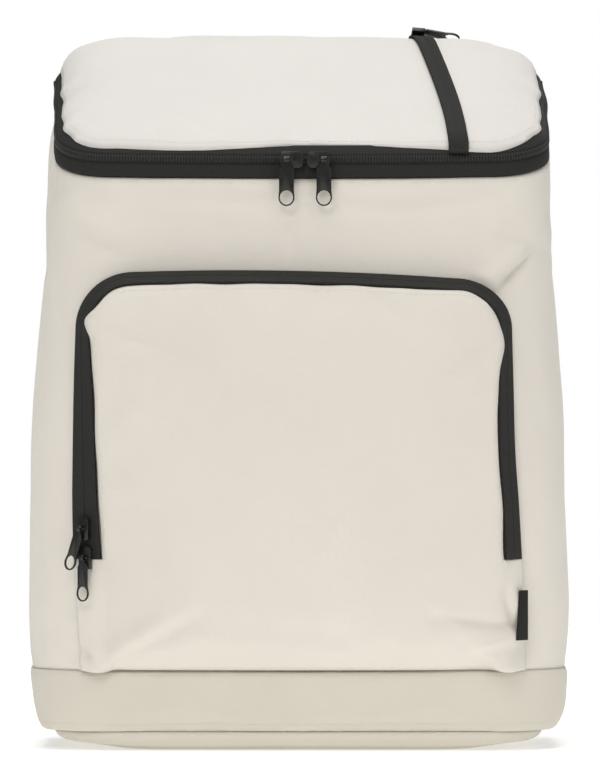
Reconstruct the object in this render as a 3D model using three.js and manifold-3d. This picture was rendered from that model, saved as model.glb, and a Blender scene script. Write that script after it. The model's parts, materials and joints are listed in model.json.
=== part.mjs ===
// A soft insulated backpack with a sloping zipped lid, a zipped pocket on the lid, an arched
// front pocket, a base band over a padded bottom, and shoulder straps on the back panel.
// Millimetres, +Z up, front towards -Y. The origin is the middle of the flat underside.
import * as THREE from "three";
import { mergeVertices } from "three/addons/utils/BufferGeometryUtils.js";
import Module from "manifold-3d";

// Overall size
const bagWidth = 315.6; // at the widest, just above the base band
const bodyDepth = 160; // front wall to the outside of the back panel, at the base
const zipFrontHeight = 344; // middle of the lid zip along the front
const zipBackHeight = 390; // middle of the lid zip where it ends at the back panel
const zipRiseCurve = 1.1; // 1 is a straight rise from front to back
const cornerRadiusBase = 50; // front vertical corners, at the base
const cornerRadiusTop = 38; // the same corners at the lid zip
const frontBow = 4; // how far the front wall bows out between its corners

// Walls and cloth
const wallThickness = 7; // outer cloth, foam and lining together
const lidThickness = 6;
const backPanelThickness = 12;
const backPanelPuff = 2.5; // how far the back panel's padding swells
const clothThickness = 1.8; // pocket face and gussets
const seamGap = 0.3; // between pieces that meet

// Base
const bottomPadHeight = 10.5;
const bottomPadInset = 9; // the pad's edge behind the widest outline
const bottomPadRound = 22; // how far the pad's underside edge rounds in
const baseBandTop = 47;
const baseBandTuck = 8.4; // how far the band curves in towards the pad

// Lid
const lidCrownFront = 6;
const lidCrownBack = 29.2;
const lidEdgeRound = 3.6; // the crown is flatter inside and rounder at its edge as this grows
const lidRightSlump = 1.9; // how much less that is towards the right, where the lid sags
const backPanelTop = 396;
const backPanelCorner = 14;
const lidBackSetback = 1.5; // lid's back edge in front of the back panel's outer face
const lidBackCorner = 11;
const lidBackCornerSteps = 3;

// Lid zip
const tapeThickness = 1.2;
const lowerTapeHeight = 8.2;
const upperTapeHeight = 5.8;
const upperTapeLean = 4.2; // how far the upper tape leans in over its height
const coilHeight = 4.4;
const coilBulge = 1.2; // coil in front of the tapes
const coilThickness = 2.4;
const tapeSetback = 0.5; // tape behind the wall's outer face

// Lid pocket zip, given where it starts and ends on the lid
const lidPocketFrontX = 92;
const lidPocketBackX = 70;
const lidPocketFrontSetback = 7; // from the lid's front edge
const lidPocketBackSetback = 5; // from the lid's back edge
const lidPocketSliderShare = 0.965; // of the way from the front end to the back end
const lidPocketTapeWidth = 5.6; // each side of the chain
const lidPocketLift = 1.0; // tape's underside above the lid
const chainGap = 0.5; // between the two tapes of a reversed zip

// Front pocket
const pocketHalfWidth = 131.5; // at its widest
const pocketTop = 279.5; // middle of its arched top
const pocketTopSag = 1.8; // the top's right end hangs this much below its middle, the left above
const pocketTopCrown = 2.5; // the top's middle above its corners
const pocketCorner = 34;
const pocketZipEnd = 112; // height at which the zip gives way to the cloth gusset
const gussetWidth = 16.5; // zip and both tapes, from the wall to the pocket's face
const gussetTopInset = 0.38; // share of that width by which the top slopes downwards
const pocketPlateau = 14; // how far the face stands off the wall inside its edge
const pocketBulge = 8;
const pocketEdgeGap = 1.6; // pocket face inside the gusset's edge

// Ribbon tab in the pocket's right-hand seam
const tabBottom = 65;
const tabHeight = 29;
const tabReach = 10;
const tabThickness = 1.8;

// Zip sliders and pulls: the lid zip is the larger size
const lidHardware = {
  bodyLength: 13, bodyWidth: 9.6, bodyThickness: 3, barLength: 5, barSize: 1.4, barShift: 3.5,
  pullLength: 27, shaftWidth: 8.6, ringWidth: 9.4, holeWidth: 7.8, holeLength: 8.4,
};
const pocketHardware = {
  bodyLength: 13.4, bodyWidth: 7.6, bodyThickness: 2.6, barLength: 3.2, barSize: 0.9, barShift: 0,
  pullLength: 25.5, shaftWidth: 6.2, ringWidth: 7.6, holeWidth: 6, holeLength: 8,
};
const pullThickness = 1.2;
const pullShoulder = 3.4; // the pull widens over this length below its knuckle
const knuckleWall = 0.8;
const hingeClearance = 0.45;
const knuckleEndPlay = 0.7; // loose enough that a pull can hang askew
const lidSlidersMeetX = 3.9; // where the two lid sliders come nose to nose
const lidSlidersGap = 1.7;
const lowerPocketSliderHeight = 113;
const pocketSliderSpacing = 16.9;
const upperPullTilt = 19; // degrees: the upper pull hangs past the lower slider
const lidPocketPullDroop = 7; // degrees: the lid pocket's pull lies towards the lid

// Shoulder straps: rows from the sewn top end down to the lower end. across is the share of
// the way from strapTopX to strapBottomX, rise of the way up, standoff of the belly.
const strapThickness = 9;
const strapTopWidth = 60;
const strapBottomWidth = 46;
const strapTopX = 45;
const strapBottomX = 94;
const strapTopHeight = 384;
const strapBottomHeight = 150;
const strapBelly = 50; // the furthest that the strap stands off the panel
const strapRows = [
  { across: 0.0, rise: 1.0, standoff: 0.012 },
  { across: 0.02, rise: 0.955, standoff: 0.07 },
  { across: 0.07, rise: 0.91, standoff: 0.36 },
  { across: 0.2, rise: 0.8, standoff: 0.76 },
  { across: 0.38, rise: 0.64, standoff: 0.97 },
  { across: 0.58, rise: 0.45, standoff: 1.0 },
  { across: 0.78, rise: 0.24, standoff: 0.88 },
  { across: 1.0, rise: 0.0, standoff: 0.64 },
];
const strapSteps = 18;
const strapTaper = 12; // the padding thins out to the flat tongue over this length
const tongueLength = 18;
const tongueWidth = 32;
const tongueThickness = 4.4;
const webbingWidth = 25;
const webbingThickness = 1.6;
const buckleWidth = 35;
const buckleLength = 27;
const buckleThickness = 3;
const buckleBar = 3;
const tailLength = 56; // loose end of the webbing below the buckle
const tailHang = 26; // how far its end hangs away from the line to the anchor
const anchorFromSide = 45.8; // where the lower webbing meets the back panel
const anchorHeight = 52;
const anchorTabWidth = 34;
const anchorTabLength = 28; // from its free end to the panel
const webbingStop = 15; // the webbing's end before the panel
const anchorTabThickness = 2.4;

// The body's outline against height: shares of the zip's back height, of half the bag's
// width, and of the front half depth.
const bodyProfile = [
  { height: 0.0, width: 0.995, front: 1.0 },
  { height: 0.12, width: 0.995, front: 1.0 },
  { height: 0.19, width: 1.0, front: 1.0 },
  { height: 0.25, width: 0.997, front: 1.0 },
  { height: 0.37, width: 0.987, front: 1.0 },
  { height: 0.49, width: 0.98, front: 0.997 },
  { height: 0.61, width: 0.961, front: 0.99 },
  { height: 0.73, width: 0.938, front: 0.98 },
  { height: 0.88, width: 0.932, front: 0.965 },
  { height: 0.95, width: 0.916, front: 0.96 },
  { height: 1.06, width: 0.906, front: 0.955 },
];

// The front pocket's sides against height: height as shares of the way from its foot to its
// top, left and right of its half width, the insets of the gusset's width.
const pocketSides = [
  { height: 0.0, left: 0.966, right: 1.006, leftInset: 0.97, rightInset: 0.84 },
  { height: 0.1, left: 0.976, right: 1.002, leftInset: 0.97, rightInset: 0.7 },
  { height: 0.28, left: 0.994, right: 0.988, leftInset: 0.95, rightInset: 0.56 },
  { height: 0.42, left: 1.0, right: 0.974, leftInset: 0.85, rightInset: 0.52 },
  { height: 0.55, left: 0.998, right: 0.958, leftInset: 0.76, rightInset: 0.52 },
  { height: 0.72, left: 0.993, right: 0.95, leftInset: 0.61, rightInset: 0.47 },
  { height: 0.85, left: 0.986, right: 0.944, leftInset: 0.46, rightInset: 0.38 },
  { height: 1.0, left: 0.978, right: 0.94, leftInset: 0.4, rightInset: 0.38 },
];

// How the base band tucks in: shares of its own height and of the tuck.
const baseBandProfile = [
  { height: 0.0, tuck: 1.0 },
  { height: 0.04, tuck: 0.76 },
  { height: 0.12, tuck: 0.56 },
  { height: 0.24, tuck: 0.38 },
  { height: 0.38, tuck: 0.24 },
  { height: 0.62, tuck: 0.11 },
  { height: 1.0, tuck: 0.0 },
];

// The bottom pad's edge: shares of its height and of the rounding.
const bottomPadProfile = [
  { height: 0.0, round: 1.0 },
  { height: 0.11, round: 0.8 },
  { height: 0.33, round: 0.55 },
  { height: 0.62, round: 0.27 },
  { height: 0.88, round: 0.07 },
  { height: 1.0, round: 0.03 },
];

// How finely the shapes are cut
const sideSteps = 5;
const cornerSteps = 6;
const frontSteps = 8;
const wallRows = [0, 0.1, 0.24, 0.4, 0.56, 0.72, 0.86, 1];
const crownRings = [1, 0.97, 0.92, 0.83, 0.68, 0.46, 0.22];

const cloth = new THREE.MeshStandardMaterial({ color: 0xe2dacb, roughness: 0.85, metalness: 0 });
const zipTape = new THREE.MeshStandardMaterial({ color: 0x2e2d2a, roughness: 0.75, metalness: 0 });
const zipMetal = new THREE.MeshStandardMaterial({ color: 0x1d1c1a, roughness: 0.35, metalness: 0.7 });
const webbing = new THREE.MeshStandardMaterial({ color: 0x2a2926, roughness: 0.8, metalness: 0 });
const plastic = new THREE.MeshStandardMaterial({ color: 0x1f1f1e, roughness: 0.5, metalness: 0 });

const wasm = await Module();
wasm.setup();

const backPlane = bodyDepth / 2;
const frontPlane = -bodyDepth / 2;
const sideEnd = backPlane - backPanelThickness - seamGap;

const mix = (a, b, share) => a + (b - a) * share;
const clamp = (value, low, high) => Math.min(high, Math.max(low, value));

// A smooth value from a table of rows that rise in their height column.
function fromTable(rows, column, height) {
  const last = rows.length - 1;
  const at = clamp(height, rows[0].height, rows[last].height);
  const i = clamp(rows.findIndex((row) => row.height > at) - 1, 0, last - 1);
  const k = at >= rows[last].height ? last - 1 : i;
  const span = rows[k + 1].height - rows[k].height;
  const t = (at - rows[k].height) / span;
  const slope = (j) => {
    const before = rows[Math.max(j - 1, 0)];
    const after = rows[Math.min(j + 1, last)];
    return ((after[column] - before[column]) / (after.height - before.height)) * span;
  };
  const t2 = t * t;
  const t3 = t2 * t;
  return (
    (2 * t3 - 3 * t2 + 1) * rows[k][column] +
    (t3 - 2 * t2 + t) * slope(k) +
    (3 * t2 - 2 * t3) * rows[k + 1][column] +
    (t3 - t2) * slope(k + 1)
  );
}

// The body's half width, front face and corner radius at a height.
function outlineAt(z) {
  const share = z / zipBackHeight;
  return {
    half: (bagWidth / 2) * fromTable(bodyProfile, "width", share),
    front: frontPlane * fromTable(bodyProfile, "front", share),
    radius: mix(cornerRadiusBase, cornerRadiusTop, clamp(z / zipFrontHeight, 0, 1)),
  };
}

// The open outline from the back left end round the front to the back right end,
// each point with its outward direction.
function openPlan(z, inset = 0) {
  const { half, front, radius } = outlineAt(z);
  const points = [];
  const add = (x, y, nx, ny) =>
    points.push({ x: x - nx * inset, y: y - ny * inset, nx, ny });
  for (let i = 0; i < sideSteps; i++) {
    add(-half, mix(sideEnd, front + radius, i / sideSteps), -1, 0);
  }
  for (let i = 0; i < cornerSteps; i++) {
    const angle = Math.PI + (Math.PI / 2) * (i / cornerSteps);
    const nx = Math.cos(angle);
    const ny = Math.sin(angle);
    add(-half + radius + radius * nx, front + radius + radius * ny, nx, ny);
  }
  for (let i = 0; i <= frontSteps; i++) {
    const across = mix(-1, 1, i / frontSteps);
    add(across * (half - radius), front - frontBow * (1 - across * across), 0, -1);
  }
  const leftHalf = points.slice(0, sideSteps + cornerSteps).reverse();
  for (const p of leftHalf) points.push({ x: -p.x, y: p.y, nx: -p.nx, ny: p.ny });
  return points;
}

// The front wall's outer face at a place on the front.
function wallFront(x, z) {
  const { half, front, radius } = outlineAt(z);
  const flat = half - radius;
  if (Math.abs(x) <= flat) return front - frontBow * (1 - (x / flat) ** 2);
  const past = Math.min(Math.abs(x) - flat, radius);
  return front + radius - Math.sqrt(radius ** 2 - past ** 2);
}

// Middle of the lid zip's coil at a depth.
function zipHeight(y) {
  const start = outlineAt(zipFrontHeight).front - frontBow;
  const share = clamp((y - start) / (sideEnd - start), 0, 1);
  return mix(zipFrontHeight, zipBackHeight, share ** zipRiseCurve);
}

// Points in rows become a sheet of triangles.
function sheet(rows) {
  const columns = rows[0].length;
  const faces = [];
  for (let i = 0; i + 1 < rows.length; i++) {
    for (let j = 0; j + 1 < columns; j++) {
      const a = i * columns + j;
      faces.push([a, a + 1, a + columns + 1], [a, a + columns + 1, a + columns]);
    }
  }
  return { points: rows.flat(), faces };
}

// Closed rings, from the edge towards the middle, then one middle point.
function rings(loops, middle) {
  const count = loops[0].length;
  const faces = [];
  for (let i = 0; i + 1 < loops.length; i++) {
    for (let j = 0; j < count; j++) {
      const a = i * count + j;
      const b = i * count + ((j + 1) % count);
      faces.push([a, b, b + count], [a, b + count, a + count]);
    }
  }
  const last = (loops.length - 1) * count;
  const centre = loops.length * count;
  for (let j = 0; j < count; j++) faces.push([last + j, last + ((j + 1) % count), centre]);
  return { points: [...loops.flat(), middle], faces };
}

// A closed body from points and triangles, turned so that its faces point outwards.
function solid(points, faces) {
  const geometry = new THREE.BufferGeometry();
  geometry.setAttribute(
    "position",
    new THREE.Float32BufferAttribute(points.flatMap((p) => [p.x, p.y, p.z]), 3),
  );
  const volume = faces.reduce(
    (sum, [a, b, c]) => sum + points[a].dot(points[b].clone().cross(points[c])),
    0,
  );
  geometry.setIndex(faces.flatMap(([a, b, c]) => (volume > 0 ? [a, b, c] : [a, c, b])));
  return geometry;
}

// Two surfaces of the same layout, stitched together along their edges.
function stitched(outer, inner) {
  const shift = outer.points.length;
  const faces = [];
  const edges = new Set();
  for (const [a, b, c] of outer.faces) {
    faces.push([a, b, c], [a + shift, c + shift, b + shift]);
    for (const [from, to] of [[a, b], [b, c], [c, a]]) edges.add(`${from} ${to}`);
  }
  for (const edge of edges) {
    const [from, to] = edge.split(" ").map(Number);
    if (edges.has(`${to} ${from}`)) continue;
    faces.push([to, from, from + shift], [to, from + shift, to + shift]);
  }
  return solid([...outer.points, ...inner.points], faces);
}

// Gives a surface a thickness, measured away from the side towards which its outward points.
// turn may change the direction at a point.
function thickened(surface, thickness, outward, turn = (normal) => normal) {
  const normals = surface.points.map(() => new THREE.Vector3());
  for (const [a, b, c] of surface.faces) {
    const [p, q, r] = [a, b, c].map((i) => surface.points[i]);
    const normal = q.clone().sub(p).cross(r.clone().sub(p));
    for (const i of [a, b, c]) normals[i].add(normal);
  }
  const towards = normals.reduce((sum, n) => sum + n.dot(outward), 0) < 0 ? -1 : 1;
  const points = surface.points.map((p, i) => {
    const normal = turn(normals[i].normalize().multiplyScalar(towards), i, p);
    return p.clone().addScaledVector(normal, -thickness);
  });
  return stitched(surface, { points, faces: surface.faces });
}

const front = new THREE.Vector3(0, -1, 0);
const up = new THREE.Vector3(0, 0, 1);

const bag = new THREE.Group();

function addPiece(name, geometry, material, parent = bag) {
  const mesh = new THREE.Mesh(geometry, material);
  mesh.name = name;
  parent.add(mesh);
  return mesh;
}

// A wall that follows the open outline. height gives each row's height at each column,
// and inset how far the row stands behind the outline.
function wallAlongPlan(rows, thickness) {
  const atZip = openPlan(zipFrontHeight);
  const grid = rows.map(({ height, inset }) =>
    atZip.map((place, j) => {
      const z = height(zipHeight(place.y));
      const p = openPlan(z, inset)[j];
      return new THREE.Vector3(p.x, p.y, z);
    }),
  );
  const plan = openPlan(zipFrontHeight);
  const outer = sheet(grid);
  const columns = plan.length;
  return stitched(outer, {
    points: outer.points.map((p, i) => {
      const { nx, ny } = plan[i % columns];
      return new THREE.Vector3(p.x - nx * thickness, p.y - ny * thickness, p.z);
    }),
    faces: outer.faces,
  });
}

const wallRim = -(coilHeight / 2 + lowerTapeHeight + 2 * seamGap);

// The outer wall: front and both sides in one piece, from the base band to the lid zip.
function frontAndSideWall() {
  const rows = wallRows.map((share) => ({
    height: (zip) => mix(baseBandTop + seamGap, zip + wallRim, share),
    inset: 0,
  }));
  return wallAlongPlan(rows, wallThickness);
}

// The base band, padded like the wall, which tucks in towards the bottom pad.
function baseBand() {
  const rows = baseBandProfile.map(({ height, tuck }) => ({
    height: () => mix(bottomPadHeight + seamGap, baseBandTop, height),
    inset: baseBandTuck * tuck,
  }));
  return wallAlongPlan(rows, wallThickness);
}

// The closed outline of the bottom pad at an inset.
function padOutline(inset) {
  const open = openPlan(0, inset);
  const backEdge = backPlane - seamGap;
  const steps = frontSteps;
  const corner = backPanelCorner;
  const half = open[0].x;
  const points = open.map(({ x, y }) => [x, Math.min(y, backEdge - inset - corner)]);
  for (let i = 1; i <= cornerSteps; i++) {
    const angle = (Math.PI / 2) * (i / cornerSteps);
    points.push([
      -half - corner + corner * Math.cos(angle),
      backEdge - inset - corner + corner * Math.sin(angle),
    ]);
  }
  for (let i = 1; i < steps; i++) {
    points.push([mix(-half - corner, half + corner, i / steps), backEdge - inset]);
  }
  for (let i = 0; i < cornerSteps; i++) {
    const angle = Math.PI / 2 + (Math.PI / 2) * (i / cornerSteps);
    points.push([
      half + corner + corner * Math.cos(angle),
      backEdge - inset - corner + corner * Math.sin(angle),
    ]);
  }
  return points;
}

function bottomPad() {
  const loops = bottomPadProfile.map(({ height, round }) =>
    padOutline(bottomPadInset + bottomPadRound * round).map(
      ([x, y]) => new THREE.Vector3(x, y, bottomPadHeight * height),
    ),
  );
  const under = new THREE.Vector3(0, 0, 0);
  const { points, faces } = rings(loops, new THREE.Vector3(0, 0, bottomPadHeight));
  const count = loops[0].length;
  const floor = loops[0].map((_, j) => [(j + 1) % count, j, points.length]);
  return solid([...points, under], [...faces, ...floor]);
}

// The back panel's outline: the body's width at each height, with rounded top corners.
function backOutline() {
  const bottom = bottomPadHeight + seamGap;
  const shoulder = backPanelTop - backPanelCorner;
  const right = wallRows.map((share) => {
    const z = mix(bottom, shoulder, share);
    const tuck = baseBandTuck * fromTable(
      baseBandProfile, "tuck", clamp((z - bottom) / (baseBandTop - bottom), 0, 1),
    );
    return [outlineAt(z).half - tuck, z];
  });
  const topHalf = right[right.length - 1][0] - backPanelCorner;
  for (let i = 1; i <= cornerSteps; i++) {
    const angle = (Math.PI / 2) * (i / cornerSteps);
    right.push([
      topHalf + backPanelCorner * Math.cos(angle),
      shoulder + backPanelCorner * Math.sin(angle),
    ]);
  }
  const top = [];
  for (let i = 1; i < frontSteps; i++) {
    top.push([mix(topHalf, -topHalf, i / frontSteps), backPanelTop]);
  }
  const left = right.map(([x, z]) => [-x, z]).reverse();
  const foot = [];
  for (let i = 1; i < frontSteps; i++) {
    foot.push([mix(left[left.length - 1][0], right[0][0], i / frontSteps), bottom]);
  }
  return [...right, ...top, ...left, ...foot];
}

// How far the padding stands behind the back plane's edge at a share of the way out.
const backPuffAt = (ring) => backPanelPuff * (1 - ring ** 6);

function backPanel() {
  const outline = backOutline();
  const middle = backPanelTop / 2;
  const place = (y) => (ring) =>
    outline.map(([x, z]) => new THREE.Vector3(x * ring, y(ring), mix(middle, z, ring)));
  const outerY = (ring) => backPlane + backPuffAt(ring);
  const innerY = () => backPlane - backPanelThickness;
  const outer = rings(crownRings.map(place(outerY)), new THREE.Vector3(0, outerY(0), middle));
  const inner = rings(crownRings.map(place(innerY)), new THREE.Vector3(0, innerY(), middle));
  return stitched(outer, inner);
}

// The lid zip: two tapes with the coil between them, all along the open outline.
const coilFrom = (share) => (zip) => zip + coilHeight * share;
const lowerTapeTop = -(coilHeight / 2 + seamGap);
const upperTapeBottom = coilHeight / 2 + seamGap;
const lidRise = upperTapeBottom + upperTapeHeight + seamGap;
const lidInset = tapeSetback + upperTapeLean;

function lidZipLowerTape() {
  return wallAlongPlan(
    [
      { height: (zip) => zip + lowerTapeTop - lowerTapeHeight, inset: tapeSetback },
      { height: (zip) => zip + lowerTapeTop, inset: tapeSetback },
    ],
    tapeThickness,
  );
}

function lidZipCoil() {
  return wallAlongPlan(
    [
      { height: coilFrom(-0.5), inset: tapeSetback },
      { height: coilFrom(-0.2), inset: tapeSetback - coilBulge },
      { height: coilFrom(0.2), inset: tapeSetback - coilBulge },
      { height: coilFrom(0.5), inset: tapeSetback },
    ],
    coilThickness,
  );
}

function lidZipUpperTape() {
  return wallAlongPlan(
    [
      { height: (zip) => zip + upperTapeBottom, inset: tapeSetback },
      { height: (zip) => zip + upperTapeBottom + upperTapeHeight, inset: lidInset },
    ],
    tapeThickness,
  );
}

// The lid's edge: along the zip, then over the back panel's top.
const lidBackY = backPlane - lidBackSetback;
const lidBackZ = backPanelTop + 2 * seamGap;

function lidEdge() {
  const atZip = openPlan(zipFrontHeight);
  const edge = atZip.map((place, j) => {
    const z = zipHeight(place.y) + lidRise;
    const p = openPlan(z, lidInset)[j];
    return new THREE.Vector3(p.x, p.y, z);
  });
  const side = edge[edge.length - 1];
  const corner = [];
  for (let i = 1; i <= lidBackCornerSteps; i++) {
    const angle = (Math.PI / 2) * (i / lidBackCornerSteps);
    corner.push(new THREE.Vector3(
      side.x - lidBackCorner * (1 - Math.cos(angle)),
      mix(side.y, lidBackY, Math.sin(angle)),
      mix(side.z, lidBackZ, Math.sin(angle)),
    ));
  }
  const half = side.x - lidBackCorner;
  for (let i = 1; i < frontSteps; i++) {
    edge.push(new THREE.Vector3(mix(half, -half, i / frontSteps), lidBackY, lidBackZ));
  }
  edge.splice(-(frontSteps - 1), 0, ...corner);
  edge.push(...corner.map((p) => p.clone().setX(-p.x)).reverse());
  return edge;
}

const edgeOfLid = lidEdge();

// The lid's share of the way out from its middle to its edge, along a straight line.
function lidRing(x, y) {
  let share = 0;
  edgeOfLid.forEach((a, i) => {
    const b = edgeOfLid[(i + 1) % edgeOfLid.length];
    const cross = (b.x - a.x) * y - (b.y - a.y) * x;
    const edge = (b.x - a.x) * a.y - (b.y - a.y) * a.x;
    const along = a.x * y - a.y * x;
    const toB = b.x * y - b.y * x;
    if (along * toB <= 0 && cross / edge > share) share = cross / edge;
  });
  return share;
}

// The height of the lid's outer face.
function lidHeight(x, y, ring = lidRing(x, y)) {
  const past = clamp((y - sideEnd) / (lidBackY - sideEnd), 0, 1);
  const base = mix(zipHeight(y) + lidRise, lidBackZ, past);
  const depth = clamp((y - frontPlane) / (lidBackY - frontPlane), 0, 1);
  const crown = mix(lidCrownFront, lidCrownBack, depth);
  const slump = lidRightSlump * clamp(x / (bagWidth / 2), 0, 1) ** 2;
  return base + crown * Math.sqrt(Math.max(0, 1 - Math.min(ring, 1) ** (lidEdgeRound - slump)));
}

function lid() {
  const loops = crownRings.map((ring) =>
    edgeOfLid.map((p) => {
      const x = p.x * ring;
      const y = p.y * ring;
      return new THREE.Vector3(x, y, ring === 1 ? p.z : lidHeight(x, y, ring));
    }),
  );
  const surface = rings(loops, new THREE.Vector3(0, 0, lidHeight(0, 0, 0)));
  const onEdge = edgeOfLid.length;
  return thickened(surface, lidThickness, up, (normal, i) =>
    i < onEdge ? normal.setZ(0).normalize() : normal,
  );
}

// A point of the lid pocket's zip: share runs from the front end to the back end,
// side across the chain in millimetres, lift above the lid.
const lidFrontEdgeY = edgeOfLid[sideSteps + cornerSteps + frontSteps / 2].y;
const lidPocketFrontY = lidFrontEdgeY + lidPocketFrontSetback;
const lidPocketBackY = lidBackY - lidPocketBackSetback;

function onLid(share, side, lift) {
  const x = mix(lidPocketFrontX, lidPocketBackX, share) + side;
  const y = mix(lidPocketFrontY, lidPocketBackY, share);
  const step = 1;
  const slopeX = (lidHeight(x + step, y) - lidHeight(x - step, y)) / (2 * step);
  const slopeY = (lidHeight(x, y + step) - lidHeight(x, y - step)) / (2 * step);
  const normal = new THREE.Vector3(-slopeX, -slopeY, 1).normalize();
  return new THREE.Vector3(x, y, lidHeight(x, y)).addScaledVector(normal, lift);
}

function lidPocketTape(side) {
  const near = (side * chainGap) / 2;
  const far = side * (chainGap / 2 + lidPocketTapeWidth);
  const steps = 20;
  const rows = [];
  for (let i = 0; i <= steps; i++) {
    rows.push([near, (near + far) / 2, far].map((across) =>
      onLid(i / steps, across, lidPocketLift + tapeThickness),
    ));
  }
  return thickened(sheet(rows), tapeThickness, up);
}

// How far the gusset's front edge stands off the wall where it slopes in by an inset.
const edgeDepth = (inset) => Math.sqrt(Math.max(0, gussetWidth ** 2 - inset ** 2));

// The front pocket's arch, seen from the front: along the wall for share 0, along the
// gusset's front edge for share 1, and inside that by a margin. Each point has the front
// edge's depth there.
function arch(share, margin = 0) {
  const foot = baseBandTop + 2 * seamGap;
  const shoulder = pocketTop - pocketCorner;
  const read = (column, z) => fromTable(pocketSides, column, (z - foot) / (pocketTop - foot));
  const slope = (column, z) => gussetWidth * read(`${column}Inset`, z);
  const side = (column, z) =>
    pocketHalfWidth * read(column, z) - slope(column, z) * share - margin;
  const topSlope = gussetWidth * gussetTopInset;
  const topAt = (across) =>
    pocketTop - pocketTopSag * across - pocketTopCrown * across ** 2 - topSlope * share - margin;
  const heights = [];
  for (let i = 0; i < gussetSteps; i++) heights.push(mix(foot, pocketZipEnd, i / gussetSteps));
  for (let i = 0; i < sideSteps; i++) heights.push(mix(pocketZipEnd, shoulder, i / sideSteps));
  const inFrom = (column) => side(column, shoulder) - pocketCorner + slope(column, shoulder) * share;
  const flank = (column, sign) => {
    const points = heights.map((z) => [sign * side(column, z), z, edgeDepth(slope(column, z))]);
    const centre = inFrom(column);
    for (let i = 0; i < cornerSteps; i++) {
      const angle = (Math.PI / 2) * (i / cornerSteps);
      points.push([
        sign * (centre + (side(column, shoulder) - centre) * Math.cos(angle)),
        shoulder + (topAt(sign) - shoulder) * Math.sin(angle),
        edgeDepth(mix(slope(column, shoulder), topSlope, i / cornerSteps)),
      ]);
    }
    return points;
  };
  const across = [];
  for (let i = 0; i <= frontSteps; i++) {
    const x = mix(-inFrom("left"), inFrom("right"), i / frontSteps);
    across.push([x, topAt(mix(-1, 1, i / frontSteps)), edgeDepth(topSlope)]);
  }
  return [...flank("left", -1), ...across, ...flank("right", 1).reverse()];
}

const gussetSteps = 3;
const outerArch = arch(0);
const innerArch = arch(1);

// A strip of the pocket's side, from share a to share b of the way in from the wall,
// along the arch's points from one index to another.
function gussetStrip(from, to, a, b, thickness, endGap) {
  const rows = [];
  for (let i = from; i <= to; i++) {
    const [ox, oz] = outerArch[i];
    const [ix, iz, depth] = innerArch[i];
    const wall = new THREE.Vector3(ox, wallFront(ox, oz) - thickness - 2 * seamGap, oz);
    const edge = new THREE.Vector3(ix, wallFront(ix, iz) - depth, iz);
    const drop = i === from || i === to ? endGap : 0;
    const row = [a, (a + b) / 2, b].map((share) => wall.clone().lerp(edge, share));
    row.forEach((p) => (p.z += drop));
    rows.push(row);
  }
  return thickened(sheet(rows), thickness, front);
}

const zipFrom = gussetSteps;
const zipTo = outerArch.length - 1 - gussetSteps;
const chainShare = 0.5;
const chainHalfShare = 0.02;

function pocketTape(a, b) {
  return gussetStrip(zipFrom, zipTo, a, b, tapeThickness, seamGap);
}

// The pocket's face: sewn flat along the bottom, and bulging over the base band.
function pocketFace() {
  const edge = arch(1, pocketEdgeGap);
  const foot = [];
  const [footX, footZ] = edge[edge.length - 1];
  for (let i = 1; i < frontSteps; i++) {
    foot.push([mix(footX, edge[0][0], i / frontSteps), footZ, clothThickness + 2 * seamGap]);
  }
  const outline = [...edge, ...foot];
  const middle = (pocketTop + baseBandTop) / 2;
  const depthAt = (atEdge, ring) =>
    mix(pocketPlateau, atEdge, ring ** 4) + pocketBulge * Math.sqrt(1 - ring ** 3);
  const loops = crownRings.map((ring) =>
    outline.map(([px, pz, depth]) => {
      const x = px * ring;
      const z = mix(middle, pz, ring);
      return new THREE.Vector3(x, wallFront(x, z) - depthAt(depth, ring), z);
    }),
  );
  const centre = wallFront(0, middle) - pocketPlateau - pocketBulge;
  const surface = rings(loops, new THREE.Vector3(0, centre, middle));
  return thickened(surface, clothThickness, front, (normal, i) =>
    i < outline.length ? front : normal,
  );
}

// The gusset's edge along the wall and its front edge, at a height on one side.
function gussetAt(z, onRight) {
  const turned = (line) => (onRight ? [...line].reverse() : line);
  const [outer, inner] = [turned(outerArch), turned(innerArch)];
  const index = outer.findIndex((_, i) => outer[i + 1][1] > z);
  const share = (z - outer[index][1]) / (outer[index + 1][1] - outer[index][1]);
  const between = (line, k) => mix(line[index][k], line[index + 1][k], share);
  const at = (line, depth) => {
    const x = between(line, 0);
    return new THREE.Vector3(x, wallFront(x, z) - depth, z);
  };
  return {
    wall: at(outer, clothThickness + 2 * seamGap),
    edge: at(inner, between(inner, 2)),
  };
}

// A ribbon tab folded double, sewn into the pocket's right-hand seam, lying on the gusset.
function addRibbonTab() {
  const half = tabThickness / 2;
  const shape = new THREE.Shape();
  shape.moveTo(0, -half);
  shape.lineTo(tabReach - half, -half);
  shape.absarc(tabReach - half, 0, half, -Math.PI / 2, Math.PI / 2, false);
  shape.lineTo(0, half);
  const geometry = new THREE.ExtrudeGeometry(shape, {
    depth: tabHeight, bevelEnabled: false, curveSegments: 4,
  });
  const { wall, edge } = gussetAt(tabBottom + tabHeight / 2, true);
  const inward = edge.clone().sub(wall).normalize();
  const outward = new THREE.Vector3().crossVectors(inward, up).negate();
  const tab = addPiece("ribbon_tab", geometry, webbing);
  tab.position.copy(wall).addScaledVector(outward, half + 3 * seamGap).setZ(tabBottom);
  tab.rotation.z = Math.atan2(inward.y, inward.x);
}

// Geometry to a solid body and back, for the joins and cuts of the hard pieces.
function toManifold(geometry) {
  const bare = geometry.clone();
  bare.deleteAttribute("normal");
  bare.deleteAttribute("uv");
  const merged = mergeVertices(bare, 1e-4);
  return new wasm.Manifold(
    new wasm.Mesh({
      numProp: 3,
      vertProperties: merged.attributes.position.array,
      triVerts: new Uint32Array(merged.index.array),
    }),
  );
}

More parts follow.
